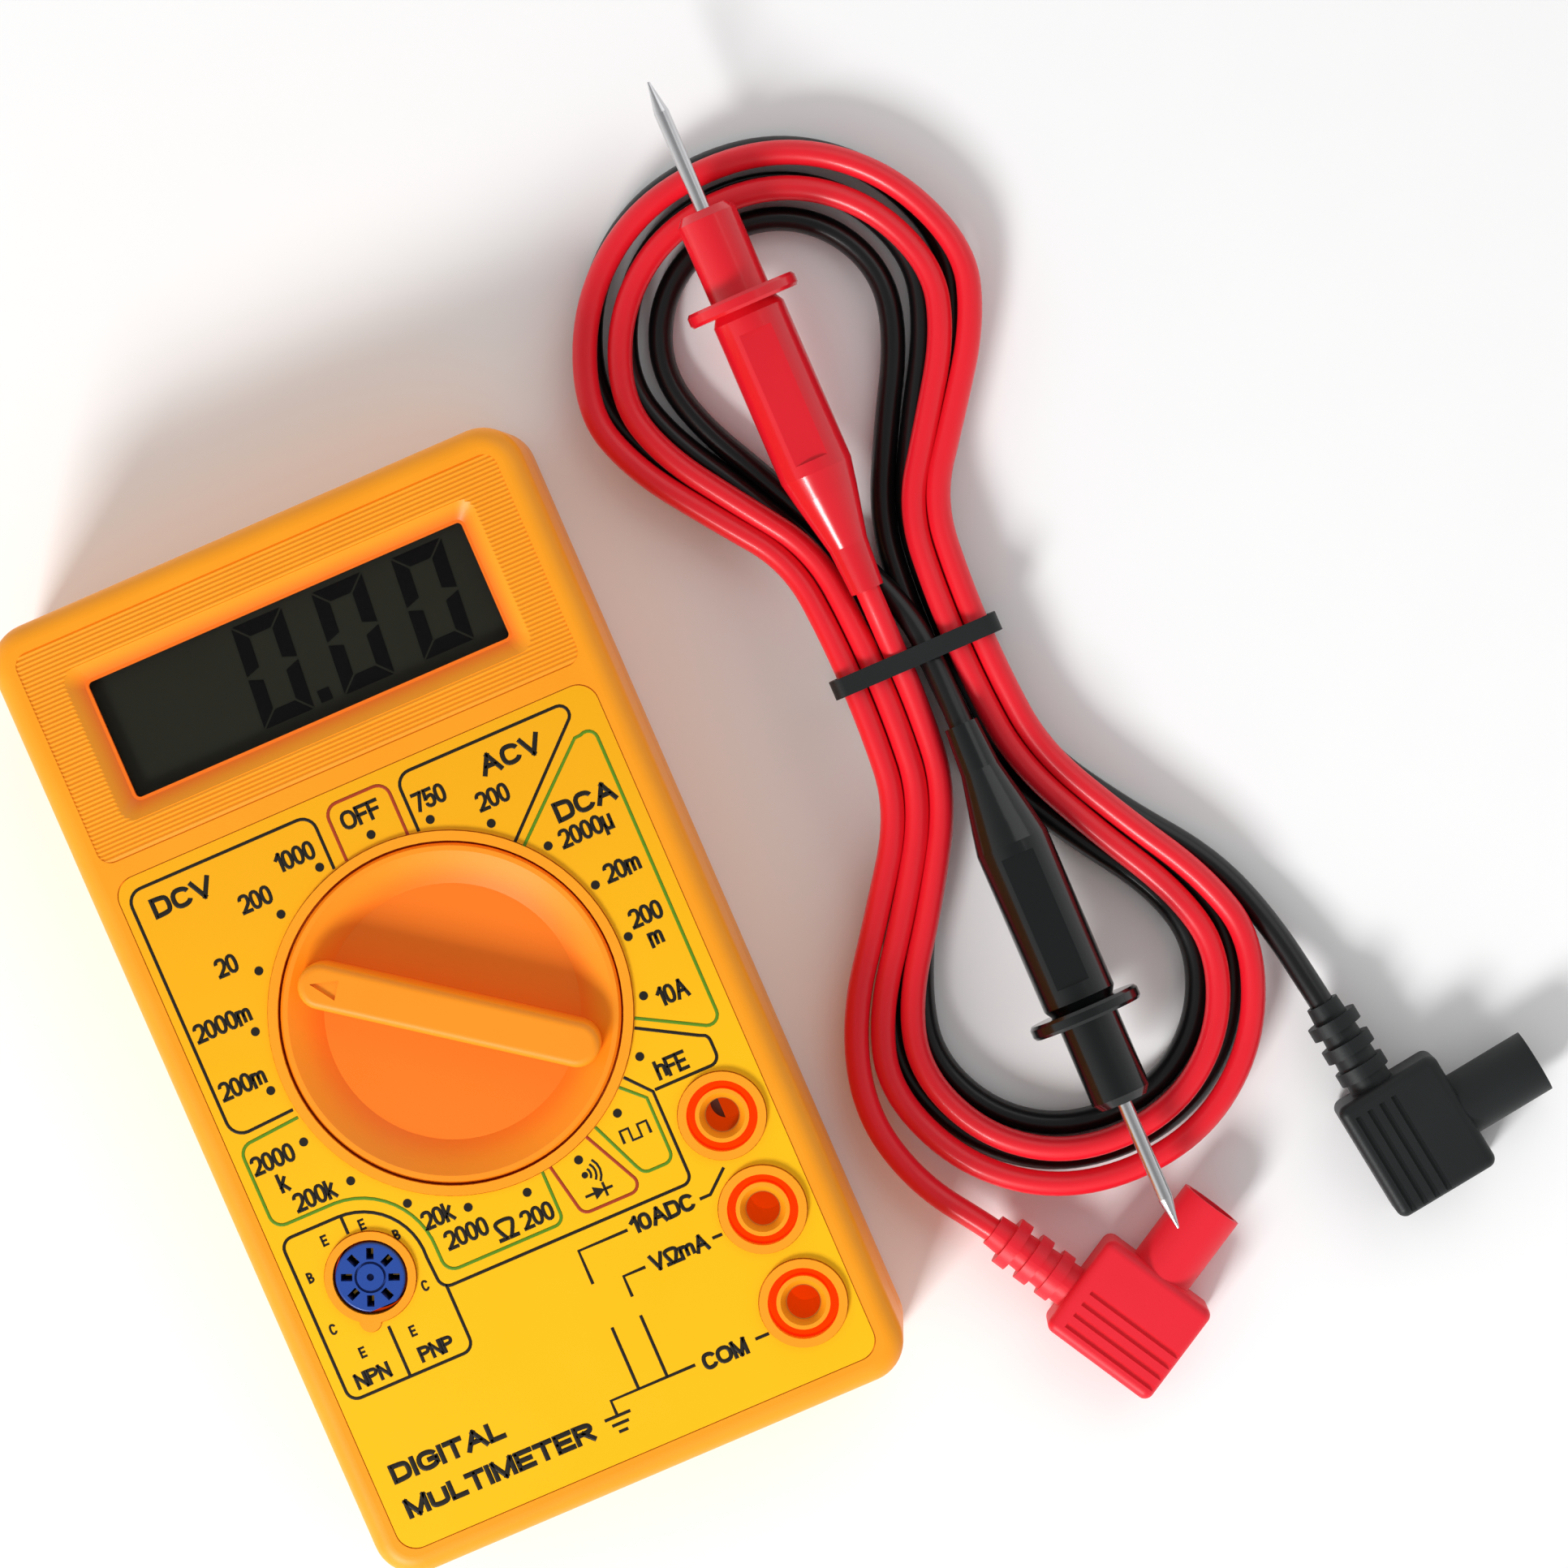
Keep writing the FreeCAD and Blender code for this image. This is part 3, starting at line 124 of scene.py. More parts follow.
def loop(tip, half_width, slot_out, slot_back, level, side, turn):
    """Control points of one loop, from its slot in the tie and back to another slot."""
    middle = tip - half_width
    points = []
    for slot, sense in ((slot_out, 1), (slot_back, -1)):
        leg = [(TIE_EDGE, slot, level + TIE_LIFT), (PARTING, slot + 1.0, level),
               (middle * 0.62, slot + (half_width - slot) * 0.45, level),
               (middle * 0.86, half_width * 0.92, level)]
        for angle in (8, 40, 72):
            reach = half_width * SWELL
            leg.append((middle + reach * math.sin(math.radians(angle)),
                        reach * math.cos(math.radians(angle)), level))
        leg = leg if sense > 0 else leg[::-1]
        points += [in_hank(side * a, turn * sense * c, z) for a, c, z in leg]
    return points


def lead(name, points):
    """One wire through its control points, with a round section as thick as their radius."""
    curve = bpy.data.curves.new(name, "CURVE")
    curve.dimensions = "3D"
    spline = curve.splines.new("NURBS")
    spline.points.add(len(points) - 1)
    for control, place in zip(spline.points, points):
        control.co = (*place, 1.0)
        control.radius = WIRE
    spline.order_u = 3
    spline.use_endpoint_u = True
    curve.resolution_u = 10
    curve.bevel_depth = 1.0
    curve.bevel_resolution = 5
    curve.use_fill_caps = True
    piece = bpy.data.objects.new(name, curve)
    bpy.context.scene.collection.objects.link(piece)
    return piece


def measured(piece):
    """Length of a curve's line, from a copy of it with no bevel."""
    bare = piece.data.copy()
    bare.bevel_depth = 0.0
    stand_in = bpy.data.objects.new("measure", bare)
    mesh = bpy.data.meshes.new_from_object(stand_in)
    length = sum((mesh.vertices[e.vertices[0]].co - mesh.vertices[e.vertices[1]].co).length
                 for e in mesh.edges)
    bpy.data.objects.remove(stand_in)
    bpy.data.curves.remove(bare)
    bpy.data.meshes.remove(mesh)
    return length


# %% The black lead, in the lower layer
STEP = 4.4                      # each inner loop is this much smaller
black_route = [in_hank(64.0, 30.0, 4.5), in_hank(60.0, 29.4, 4.5), in_hank(48.0, 27.4, 2.9),
               in_hank(38.0, 23.8, BLACK_LEVEL), in_hank(28.0, 16.2, BLACK_LEVEL),
               in_hank(17.0, 9.4, BLACK_LEVEL), in_hank(6.0, 8.0, BLACK_LEVEL + TIE_LIFT)]
black_route += loop(67.0, 23.5, 8.0, 8.0, BLACK_LEVEL, -1, 1)
black_route += loop(67.0, 22.0, 8.0, 4.8, BLACK_LEVEL, 1, -1)
black_route += loop(67.0 - STEP, 23.5 - STEP, 4.8, 4.8, BLACK_LEVEL, -1, 1)
black_route += loop(67.0 - STEP, 22.0 - STEP, 4.8, 1.6, BLACK_LEVEL, 1, -1)
black_route += loop(67.0 - 2 * STEP, 23.5 - 2 * STEP, 1.6, 2.6, BLACK_LEVEL, -1, 1)[:-1]
black_route += [in_hank(-9.0, 0.0, 4.2), in_hank(-3.0, 1.6, 5.7), in_hank(4.0, 1.8, 6.6),
                in_hank(10.0, 1.8, 8.2), in_hank(13.0, 1.8, 8.35)]
lead_black = lead("lead_wire_black", black_route)
black_length = measured(lead_black)
print("black lead", round(black_length, 3), "m")

# %% The red lead, in the upper layer
red_route = [in_hank(73.5, -17.6, 4.5), in_hank(70.0, -19.6, 4.5), in_hank(61.0, -26.0, 4.6),
             in_hank(50.0, -28.6, RED_LEVEL), in_hank(38.5, -25.2, RED_LEVEL),
             in_hank(28.0, -17.4, RED_LEVEL), in_hank(17.0, -9.6, RED_LEVEL),
             in_hank(6.0, -8.6, RED_LEVEL + TIE_LIFT)]
red_route += loop(66.0, 25.0, 8.6, 8.6, RED_LEVEL, -1, -1)
red_route += loop(70.0, 24.0, 8.6, 5.4, RED_LEVEL, 1, 1)
red_route += loop(66.0 - STEP, 25.0 - STEP, 5.4, 5.4, RED_LEVEL, -1, -1)
red_route += loop(70.0 - STEP, 24.0 - STEP, 5.4, 2.2, RED_LEVEL, 1, 1)
red_route += [in_hank(-3.0, -2.2, 6.6), in_hank(-10.0, -2.2, 8.2), in_hank(-13.0, -2.2, 8.35)]
lead_red = lead("lead_wire_red", red_route)
red_length = measured(lead_red)
print("red lead", round(red_length, 3), "m")

# %% [markdown]
# ## Attaching the leads
# Each wire is put on the leads' body and the CAD lead of its colour is hidden.  Its near end is
# in the plug's strain relief and its far end in the probe.

# %% Attach both leads to their body
for colour, wire, route, length, held in (
        ("black", lead_black, black_route, black_length, ["lead_tie"]),
        ("red", lead_red, red_route, red_length, [])):
    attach(wire, "test_leads")
    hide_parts("lead_" + colour)
    tuple(route[1])
    ([frame["nodes"][part + colour] for part in
                         ("plug_boot_", "plug_pin_", "probe_handle_", "probe_needle_")]
            + [frame["nodes"][name] for name in held])

# %% [markdown]
# ## Finishes
# A real moulding is never one flat colour.  Its surface has a fine texture from the tool, the
# pigment varies a little, and handling leaves faint streaks in the gloss.  One function builds
# that for every finish from a colour, a gloss and the size of the texture, and the few finishes
# that need more add it afterwards.

# %% A colour as a designer writes it
def colour(code):
    """A colour from its six-figure code, as linear light."""
    values = [int(code[i:i + 2], 16) / 255 for i in (0, 2, 4)]
    linear = [v / 12.92 if v <= 0.04045 else ((v + 0.055) / 1.055) ** 2.4 for v in values]
    return (*linear, 1.0)


# %% The base recipe for every finish
MOTTLE_SCALE = 90.0             # patches of colour about a centimetre across
finishes = {}


def finish(slot, code, rough, grain=0.35, bump=0.04, metal=0.0, coat=0.0, spread=0.06,
           shine=0.35):
    """A finish: mottled colour, uneven gloss and a moulded or drawn texture, all in metres."""
    material = bpy.data.materials.new("finish_" + slot)
    material.use_nodes = True
    finishes[slot] = material
    tree = material.node_tree
    shader = tree.nodes["Principled BSDF"]
    shader.inputs["Metallic"].default_value = metal
    shader.inputs["Coat Weight"].default_value = coat
    shader.inputs["Coat Roughness"].default_value = 0.12
    shader.inputs["Specular IOR Level"].default_value = shine
    place = tree.nodes.new("ShaderNodeTexCoord")
    mottle = tree.nodes.new("ShaderNodeTexNoise")
    mottle.inputs["Scale"].default_value = MOTTLE_SCALE
    mottle.inputs["Detail"].default_value = 4.0
    texture = tree.nodes.new("ShaderNodeTexNoise")
    texture.inputs["Scale"].default_value = 1.0 / (grain * MM)
    texture.inputs["Detail"].default_value = 2.0
    tree.links.new(place.outputs["Object"], mottle.inputs["Vector"])
    tree.links.new(place.outputs["Object"], texture.inputs["Vector"])
    shade = tree.nodes.new("ShaderNodeMix")
    shade.data_type = "RGBA"
    shade.name = "shade"
    base = colour(code)
    shade.inputs["A"].default_value = [v * (1 - spread) for v in base[:3]] + [1.0]
    shade.inputs["B"].default_value = [min(1.0, v * (1 + spread)) for v in base[:3]] + [1.0]
    tree.links.new(mottle.outputs["Fac"], shade.inputs["Factor"])
    tree.links.new(shade.outputs["Result"], shader.inputs["Base Color"])
    gloss = tree.nodes.new("ShaderNodeMapRange")
    gloss.inputs["To Min"].default_value = rough * 0.85
    gloss.inputs["To Max"].default_value = min(1.0, rough * 1.2)
    tree.links.new(mottle.outputs["Fac"], gloss.inputs["Value"])
    tree.links.new(gloss.outputs["Result"], shader.inputs["Roughness"])
    relief = tree.nodes.new("ShaderNodeBump")
    relief.inputs["Strength"].default_value = 0.35
    relief.inputs["Distance"].default_value = bump * MM
    tree.links.new(texture.outputs["Fac"], relief.inputs["Height"])
    tree.links.new(relief.outputs["Normal"], shader.inputs["Normal"])
    return material


def tint_where(material, code, make_mask):
    """Lays a second colour over a finish wherever a mask made from Object coordinates is one."""
    tree = material.node_tree
    shader = tree.nodes["Principled BSDF"]
    below = shader.inputs["Base Color"].links[0].from_socket
    layer = tree.nodes.new("ShaderNodeMix")
    layer.data_type = "RGBA"
    layer.inputs["B"].default_value = colour(code)
    place = tree.nodes.new("ShaderNodeTexCoord")
    split = tree.nodes.new("ShaderNodeSeparateXYZ")
    tree.links.new(place.outputs["Object"], split.inputs["Vector"])
    tree.links.new(make_mask(tree, split), layer.inputs["Factor"])
    tree.links.new(below, layer.inputs["A"])
    tree.links.new(layer.outputs["Result"], shader.inputs["Base Color"])


def ramp(tree, source, start, end):
    """Nought at start and one at end, smoothly, along one coordinate."""
    node = tree.nodes.new("ShaderNodeMapRange")
    node.interpolation_type = "SMOOTHSTEP"
    node.inputs["From Min"].default_value = start
    node.inputs["From Max"].default_value = end
    tree.links.new(source, node.inputs["Value"])
    return node.outputs["Result"]


def times(tree, one, other):
    """One mask cut down by another."""
    node = tree.nodes.new("ShaderNodeMath")
    node.operation = "MULTIPLY"
    tree.links.new(one, node.inputs[0])
    tree.links.new(other, node.inputs[1])
    return node.outputs["Value"]


# %% Case plastic
# The case is a yellow-orange moulding.  Light that reaches its recesses has bounced off orange
# walls, so they look redder, and a red-orange tint painted below the face stands for that
# bounce light and shade.
case_finish = finish("case_plastic", "FF9E14", 0.42, grain=0.28, bump=0.03)
OUTER, INNER = 2.6 * MM, 3.4 * MM       # the mask fades in between these distances from a side


def below_face(tree, split, start=0.1 * MM, end=2.4 * MM):
    """One well below the face and away from the outer walls."""
    deep = ramp(tree, split.outputs["Z"], face_level - start, face_level - end)
    for axis, low, high in (("X", case_low.x, case_high.x), ("Y", case_low.y, case_high.y)):
        for start, end in ((low + OUTER, low + INNER), (high - OUTER, high - INNER)):
            deep = times(tree, deep, ramp(tree, split.outputs[axis], start, end))
    return deep


# Painted bounce light and shade: the case turns red-orange below the face.
tint_where(case_finish, "F4600C", below_face)


# %% Light through the plastic
# The plastic lets some light through, so the walls of its deep holes glow red instead of going
# black.  A weak emission that only the deep places have stands for that light.
def glow(material, red, green, make_mask=None):
    """Light that comes through the material, everywhere or where a mask is one."""
    tree = material.node_tree
    shader = tree.nodes["Principled BSDF"]
    shader.inputs["Emission Strength"].default_value = 1.0
    if make_mask is None:
        shader.inputs["Emission Color"].default_value = (red, green, 0.0, 1.0)
        return
    place = tree.nodes.new("ShaderNodeTexCoord")
    split = tree.nodes.new("ShaderNodeSeparateXYZ")
    tree.links.new(place.outputs["Object"], split.inputs["Vector"])
    light = tree.nodes.new("ShaderNodeMix")
    light.data_type = "RGBA"
    light.inputs["A"].default_value = (0.0, 0.0, 0.0, 1.0)
    light.inputs["B"].default_value = (red, green, 0.0, 1.0)
    tree.links.new(make_mask(tree, split), light.inputs["Factor"])
    tree.links.new(light.outputs["Result"], shader.inputs["Emission Color"])


glow(case_finish, 0.5, 0.035,
     lambda tree, split: below_face(tree, split, 1.8 * MM, 4.0 * MM))

# %% Printed film
# The yellow film is screen-printed, a shade deeper towards the display end.
film_finish = finish("panel_print", "FBBE04", 0.45, grain=0.2, bump=0.012, spread=0.02,
                     shine=0.25)
tint_where(film_finish, "F5AC08",
           lambda tree, split: ramp(tree, split.outputs["Y"], -30.0 * MM, 30.0 * MM))

# %% Dial, display and socket
dial_finish = finish("dial_plastic", "FF9412", 0.48, grain=0.3, bump=0.03)
# Painted shade and bounce light: the dial's bowl turns a deeper orange below the face.
tint_where(dial_finish, "FA7C0E",
           lambda tree, split: ramp(tree, split.outputs["Z"], face_level - 0.2 * MM,
                                    face_level - 2.6 * MM))
window_finish = finish("clear_window", "0C0C0A", 0.06, grain=2.0, bump=0.004, spread=0.01)
window_finish.node_tree.nodes["Principled BSDF"].inputs["Alpha"].default_value = 0.12
window_finish.surface_render_method = "BLENDED"
finish("lcd_glass", "2E2F25", 0.4, grain=0.5, bump=0.004, spread=0.03, shine=0.15)
finish("blue_plastic", "22489C", 0.36, grain=0.3, bump=0.03, coat=0.1)

# %% Metals
# The jacks' brass gets a painted reflection: a weak red glow for the light of the red walls
# around it.  The transistor socket's contacts are brass too, but they are on the other side of
# the meter and stay dark.
JACK_SIDE = 15.0 * MM
brass_finish = finish("brass", "C9A24A", 0.3, grain=0.4, bump=0.01, metal=1.0)
# Painted reflection: a weak red emission on the brass of the jacks only.
glow(brass_finish, 0.16, 0.014,
     lambda tree, split: ramp(tree, split.outputs["X"], JACK_SIDE, JACK_SIDE + MM))
for slot, code, rough, grain, bump in (("screw_steel", "B8B8BC", 0.32, 0.3, 0.02),
                                       ("tinned_steel", "D4D4D6", 0.24, 0.5, 0.01),
                                       ("shunt_alloy", "9C8C74", 0.35, 0.4, 0.02),
                                       ("shield_foil", "C8C8CC", 0.4, 1.0, 0.05)):
    finish(slot, code, rough, grain=grain, bump=bump, metal=1.0)

# %% Leads, plugs and probes
black_wire = finish("black_wire", "0B0C0D", 0.33, grain=0.6, bump=0.02, coat=0.2, spread=0.3)
red_wire = finish("red_wire", "EE1C2C", 0.36, grain=0.6, bump=0.02, coat=0.15)
finish("black_vinyl", "141819", 0.5, grain=0.25, bump=0.04, spread=0.2)
finish("red_vinyl", "EA1E30", 0.46, grain=0.25, bump=0.04)
finish("probe_black", "0A0D0E", 0.2, grain=0.6, bump=0.02, coat=0.4, spread=0.2)
finish("probe_red", "E01828", 0.22, grain=0.6, bump=0.02, coat=0.4)

# %% The pieces inside
inside = {
    "holder_plastic": ("E4E2D8", 0.5), "zebra_rubber": ("C8C4BC", 0.6),
    "board_laminate": ("2F6B34", 0.4), "resistor_coat": ("7FB4CC", 0.35),
    "black_epoxy": ("121212", 0.45), "film_red": ("A8421C", 0.3), "can_black": ("14161C", 0.3),
    "ceramic_tan": ("C88A48", 0.5), "trimmer_blue": ("2050B0", 0.35),
    "trimmer_white": ("EEEEE8", 0.45), "battery_shell": ("24262A", 0.3),
}
for slot, (code, rough) in inside.items():
    finish(slot, code, rough)
fuse_finish = finish("fuse_glass", "EAF4F2", 0.05, spread=0.01)
fuse_finish.node_tree.nodes["Principled BSDF"].inputs["Alpha"].default_value = 0.35
print(len(finishes), "finishes")

# %% [markdown]
# ## Giving every CAD part its finish
# The record says which finish each part has.  We look the names up and put the material in the
# part's slot.

# %% Assign the finishes
slot_of = {row["node"]: row["material_slot"] for row in frame["record"]["subparts"]}
for node, piece in frame["nodes"].items():
    if not piece.material_slots:
        piece.data.materials.append(None)
    for place in piece.material_slots:
        place.material = finishes[slot_of[node]]
for wire, material in ((lead_black, black_wire), (lead_red, red_wire)):
    wire.data.materials.append(material)
print(len(frame["nodes"]), "parts have", len(set(slot_of.values())), "finishes")

# %% [markdown]
# ## Ink on the film
# The scale round the dial is printed in black, green and red-brown.  We make it as real, very
# thin pieces of ink: letters and lines from bevelled curves pressed flat, and dots from short
# cylinders.  One mesh for each ink keeps the scene tidy.  A helper collects the shapes in a
# bmesh, and they are set on the film at the end.

# %% Ink colours and collectors
INK_HEIGHT = 0.035 * MM
inks = {"black": "1A140C", "green": "5A8A10", "brown": "A83A14"}
ink_finishes = {name: finish("ink_" + name, code, 0.4, grain=0.2, bump=0.004, spread=0.04)
                for name, code in inks.items()}
ink_meshes = {name: bmesh.new() for name in inks}


def add_mesh(target, mesh, matrix):
    """Adds a copy of a mesh to a collector, moved by a matrix."""
    mesh.transform(matrix)
    target.from_mesh(mesh)
    bpy.data.meshes.remove(mesh)


def as_mesh(data):
    """A curve as a mesh."""
    holder = bpy.data.objects.new("holder", data)
    mesh = bpy.data.meshes.new_from_object(holder)
    bpy.data.objects.remove(holder)
    return mesh


# %% [markdown]
# ## Lettering
# The scale is lettered in the plain narrow capitals that a sign writer draws with one pen
# width.  We draw them the same way: every letter is a few strokes on a grid, eight wide, with
# its foot at 2, the top of a small letter at 8 and the top of a capital at 10.  A pair such as
# "8a" is a place on the grid, across and then up, with a standing for ten.  Strokes of two
# places are straight, and longer ones are NURBS, which bend evenly.

# %% The alphabet: width over height, then the strokes
ALPHABET = {
    "0": (0.52, "0a 8a 82 02 o"), "1": (0.24, "08 8a|8a 82"),
    "2": (0.52, "08 0a 8a 86 44 02|02 82"), "5": (0.52, "7a 1a|1a 06|06 47 87 82 02 04"),
    "7": (0.50, "0a 8a|8a 22"), "O": (0.72, "0a 8a 82 02 o"), "F": (0.50, "8a 0a|0a 02|06 76"),
    "D": (0.60, "02 0a|0a 5a 89 83 52 02"), "C": (0.62, "88 7a 0a 02 72 84"),
    "V": (0.66, "0a 42|42 8a"), "A": (0.66, "02 4a|4a 82|25 65"),
    "m": (0.74, "02 08|05 08 48 45 42|45 48 88 85 82"), "µ": (0.46, "08 00|05 02 82 85|88 82"),
    "k": (0.44, "0a 02|78 04|35 82"), "h": (0.48, "0a 02|05 08 88 85 82"),
    "E": (0.52, "8a 0a|0a 02|02 82|06 76"), "N": (0.56, "02 0a|0a 82|82 8a"),
    "P": (0.54, "02 0a|0a 6a 89 87 66 06"), "B": (0.54, "02 0a|0a 7a 76 06|06 86 82 02"),
    "G": (0.64, "88 7a 0a 02 72 84|84 86|86 56"), "I": (0.0, "02 0a"), "T": (0.56, "0a 8a|4a 42"),
    "L": (0.46, "0a 02|02 82"), "M": (0.68, "02 0a|0a 42|42 8a|8a 82"),
    "U": (0.56, "0a 05 02 82 85 8a"), "R": (0.56, "02 0a|0a 6a 89 87 66 06|46 82"),
    "Ω": (0.70, "02 32|32 07 0a 8a 87 52|52 82"),
}
GRID = 8                        # places across, and from a capital's foot to its top
FOOT = 2                        # the grid's row that letters stand on
SPACE = 0.22                    # between letters, over their height


def natural_width(words):
    """Width of a word over its height, between the middles of its outer strokes."""
    return sum(ALPHABET[c][0] for c in words) + SPACE * (len(words) - 1)


# %% Pressing curves flat
def print_curve(ink, curve, width):
    """Presses a bevelled curve as thin as the ink and lays it on the film."""
    press = Matrix.Diagonal((1, 1, INK_HEIGHT / (width * MM), 1))
    set_on_film = Matrix.Translation((0, 0, film_level + INK_HEIGHT / 2))
    add_mesh(ink_meshes[ink], as_mesh(curve), set_on_film @ press)
    bpy.data.curves.remove(curve)


# %% A word in strokes
def letters(ink, words, left, right, upper, lower, pen=0.4):
    """A word fitted into a box given from the left side and the display end, in millimetres."""
    height = lower - upper - pen
    squeeze = (right - left - pen) / (natural_width(words) * height)
    curve = bpy.data.curves.new("letters", "CURVE")
    curve.dimensions = "3D"
    curve.bevel_depth = pen / 2 * MM
    curve.bevel_resolution = 1
    curve.resolution_u = 4
    curve.use_fill_caps = True
    start = left + pen / 2
    for letter in words:
        width, strokes = ALPHABET[letter]
        for stroke in strokes.split("|"):
            marks = stroke.split()
            places = [Vector((start + int(m[0]) / GRID * width * height * squeeze,
                              lower - pen / 2 - (int(m[1], 16) - FOOT) / GRID * height))
                      for m in marks if m != "o"]
            if len(places) == 2:
                along = (places[1] - places[0]).normalized() * pen / 2
                places = [places[0] - along, places[1] + along]
            path = curve.splines.new("POLY" if len(places) == 2 else "NURBS")
            path.points.add(len(places) - 1)
            for control, place in zip(path.points, places):
                control.co = (*spot(place.x, place.y, 0.0), 1.0)
            if len(places) > 2:
                path.order_u = 3
                path.use_cyclic_u = "o" in marks
                path.use_endpoint_u = "o" not in marks
        start += (width + SPACE) * height * squeeze
    print_curve(ink, curve, pen)


def label(ink, words, middle, line, height=2.45, narrow=0.94, pen=0.45):
    """A word centred on a place, its width following from its letters."""
    width = natural_width(words) * (height - pen) * narrow + pen
    letters(ink, words, middle - width / 2, middle + width / 2, line - height / 2,
            line + height / 2, pen)


# %% Lines
def line(ink, points, width=0.4):
    """A printed line through places given in millimetres, with ends and joints rounded."""
    curve = bpy.data.curves.new("line", "CURVE")
    curve.dimensions = "3D"
    curve.bevel_depth = width / 2 * MM
    curve.bevel_resolution = 1
    curve.use_fill_caps = True
    path = curve.splines.new("POLY")
    path.points.add(len(points) - 1)
    for control, (u, v) in zip(path.points, points):
        control.co = (*spot(u, v, 0.0), 1.0)
    print_curve(ink, curve, width)


def bend(u, v, radius, start, end, steps=6):
    """Places round an arc; angles are clockwise from the display end, in degrees."""
    angles = [math.radians(start + (end - start) * i / steps) for i in range(steps + 1)]
    return [(u + radius * math.sin(a), v - radius * math.cos(a)) for a in angles]


# %% Dots and filled shapes
def dot(ink, u, v, radius=0.55, sides=24):
    """A printed dot, or a filled shape of a few sides that points to the right."""
    shape = bmesh.new()
    place = Matrix.Translation(spot(u, v, film_level + INK_HEIGHT / 2))
    bmesh.ops.create_cone(shape, cap_ends=True, segments=sides, radius1=radius * MM,
                          radius2=radius * MM, depth=INK_HEIGHT)
    bmesh.ops.rotate(shape, matrix=Matrix.Rotation(-math.pi / 2, 3, "Z"), verts=shape.verts)
    mesh = bpy.data.meshes.new("dot")
    shape.to_mesh(mesh)
    shape.free()
    add_mesh(ink_meshes[ink], mesh, place)


# %% [markdown]
# ## The scale
# Twenty switch positions stand on one circle, 18 degrees apart, starting from OFF at the top.
# The dots can be worked out, but each number sits where its designer found room for it, so the
# words are placed one by one.

# %% Dots round the dial
DIAL_U = (dial_centre.x - case_low.x) / MM
DIAL_V = (case_high.y - dial_centre.y) / MM
DOT_CIRCLE = 23.75
DOT_SHIFT = -0.2                # the print sits a little left of the dial's own centre
POSITIONS = 20
for position in range(POSITIONS):
    angle = position * 360.0 / POSITIONS
    place = bend(DIAL_U + DOT_SHIFT, DIAL_V, DOT_CIRCLE, angle, angle, 1)[0]
    dot("black", *place)
print(POSITIONS, "positions on a circle of", DOT_CIRCLE, "mm")

# %% Range numbers
ranges = [
    ("750", 43.1, 39.0), ("200", 50.2, 42.0), ("2000µ", 59.0, 50.1), ("20m", 61.2, 56.1),
    ("200", 61.6, 62.4), ("m", 61.6, 65.4), ("10A", 60.8, 72.4), ("hFE", 57.1, 80.5),
    ("200", 34.8, 90.9), ("2000", 26.0, 89.5), ("20k", 23.6, 86.2), ("200k", 10.8, 78.0),
    ("2000", 7.9, 71.9), ("k", 7.9, 75.0), ("200m", 8.2, 62.0), ("2000m", 8.9, 54.3),
    ("20", 12.2, 48.0), ("200", 18.7, 42.0), ("1000", 25.2, 39.1),
]
for words, u, v in ranges:
    label("black", words, u, v)
print(len(ranges), "range labels")
letters("black", "OFF", 32.0, 37.1, 36.4, 38.8, 0.46)
letters("black", "Ω", 29.3, 32.0, 89.5, 92.3, 0.5)

# %% Names of the groups
for words, left, right, upper, lower, pen in (
        ("DCV", 6.6, 14.6, 36.9, 39.5, 0.6), ("ACV", 50.2, 58.3, 36.8, 39.4, 0.6),
        ("DCA", 56.3, 64.2, 45.6, 48.2, 0.6), ("DIGITAL", 5.6, 20.6, 111.9, 114.4, 0.64),
        ("MULTIMETER", 5.6, 30.6, 116.5, 119.0, 0.64)):
    letters("black", words, left, right, upper, lower, pen)
    print(words)

# %% Outlines of the groups
line("black", [(29.0, 42.4)] + bend(27.2, 37.0, 1.8, 90, 0) + bend(6.3, 37.0, 1.8, 0, -90)
     + bend(6.5, 65.6, 2.0, -90, -180) + [(12.6, 67.3)])
line("brown", [(30.8, 42.1)] + bend(32.4, 36.7, 1.6, -90, 0) + bend(37.3, 36.7, 1.6, 0, 90)
     + [(38.9, 42.2)])
line("black", [(40.3, 42.3)] + bend(42.1, 36.8, 1.8, -90, 0) + bend(61.6, 36.2, 1.2, 0, 130)
     + [(50.4, 48.2)])
line("green", [(51.3, 49.0), (62.2, 39.4)] + bend(63.6, 40.4, 1.2, -30, 90)
     + bend(63.5, 76.6, 1.3, 90, 205) + [(55.3, 73.5)])
line("black", [(54.8, 74.6), (61.6, 78.5)] + bend(61.5, 79.7, 1.2, 45, 90)
     + bend(61.5, 81.3, 1.2, 90, 180) + [(54.1, 82.5)])
line("green", [(12.8, 68.4), (6.4, 68.9)] + bend(6.3, 70.5, 1.6, 0, -90)
     + bend(6.3, 78.2, 1.6, -90, -180) + bend(12.3, 89.4, 9.6, 2, 92, 12)
     + bend(23.5, 91.4, 1.6, -90, -180) + bend(36.3, 91.8, 1.2, 180, 90) + [(37.5, 86.2)])
line("brown", [(38.6, 86.0)] + bend(41.0, 91.8, 1.2, -100, -180) + bend(46.4, 91.8, 1.2, 180, 70)
     + [(44.1, 84.4)])
line("green", [(45.6, 83.8), (48.3, 90.2)] + bend(49.6, 90.1, 1.2, -110, -180)
     + bend(51.6, 90.1, 1.2, 180, 90) + [(52.8, 83.0), (50.2, 80.5)])
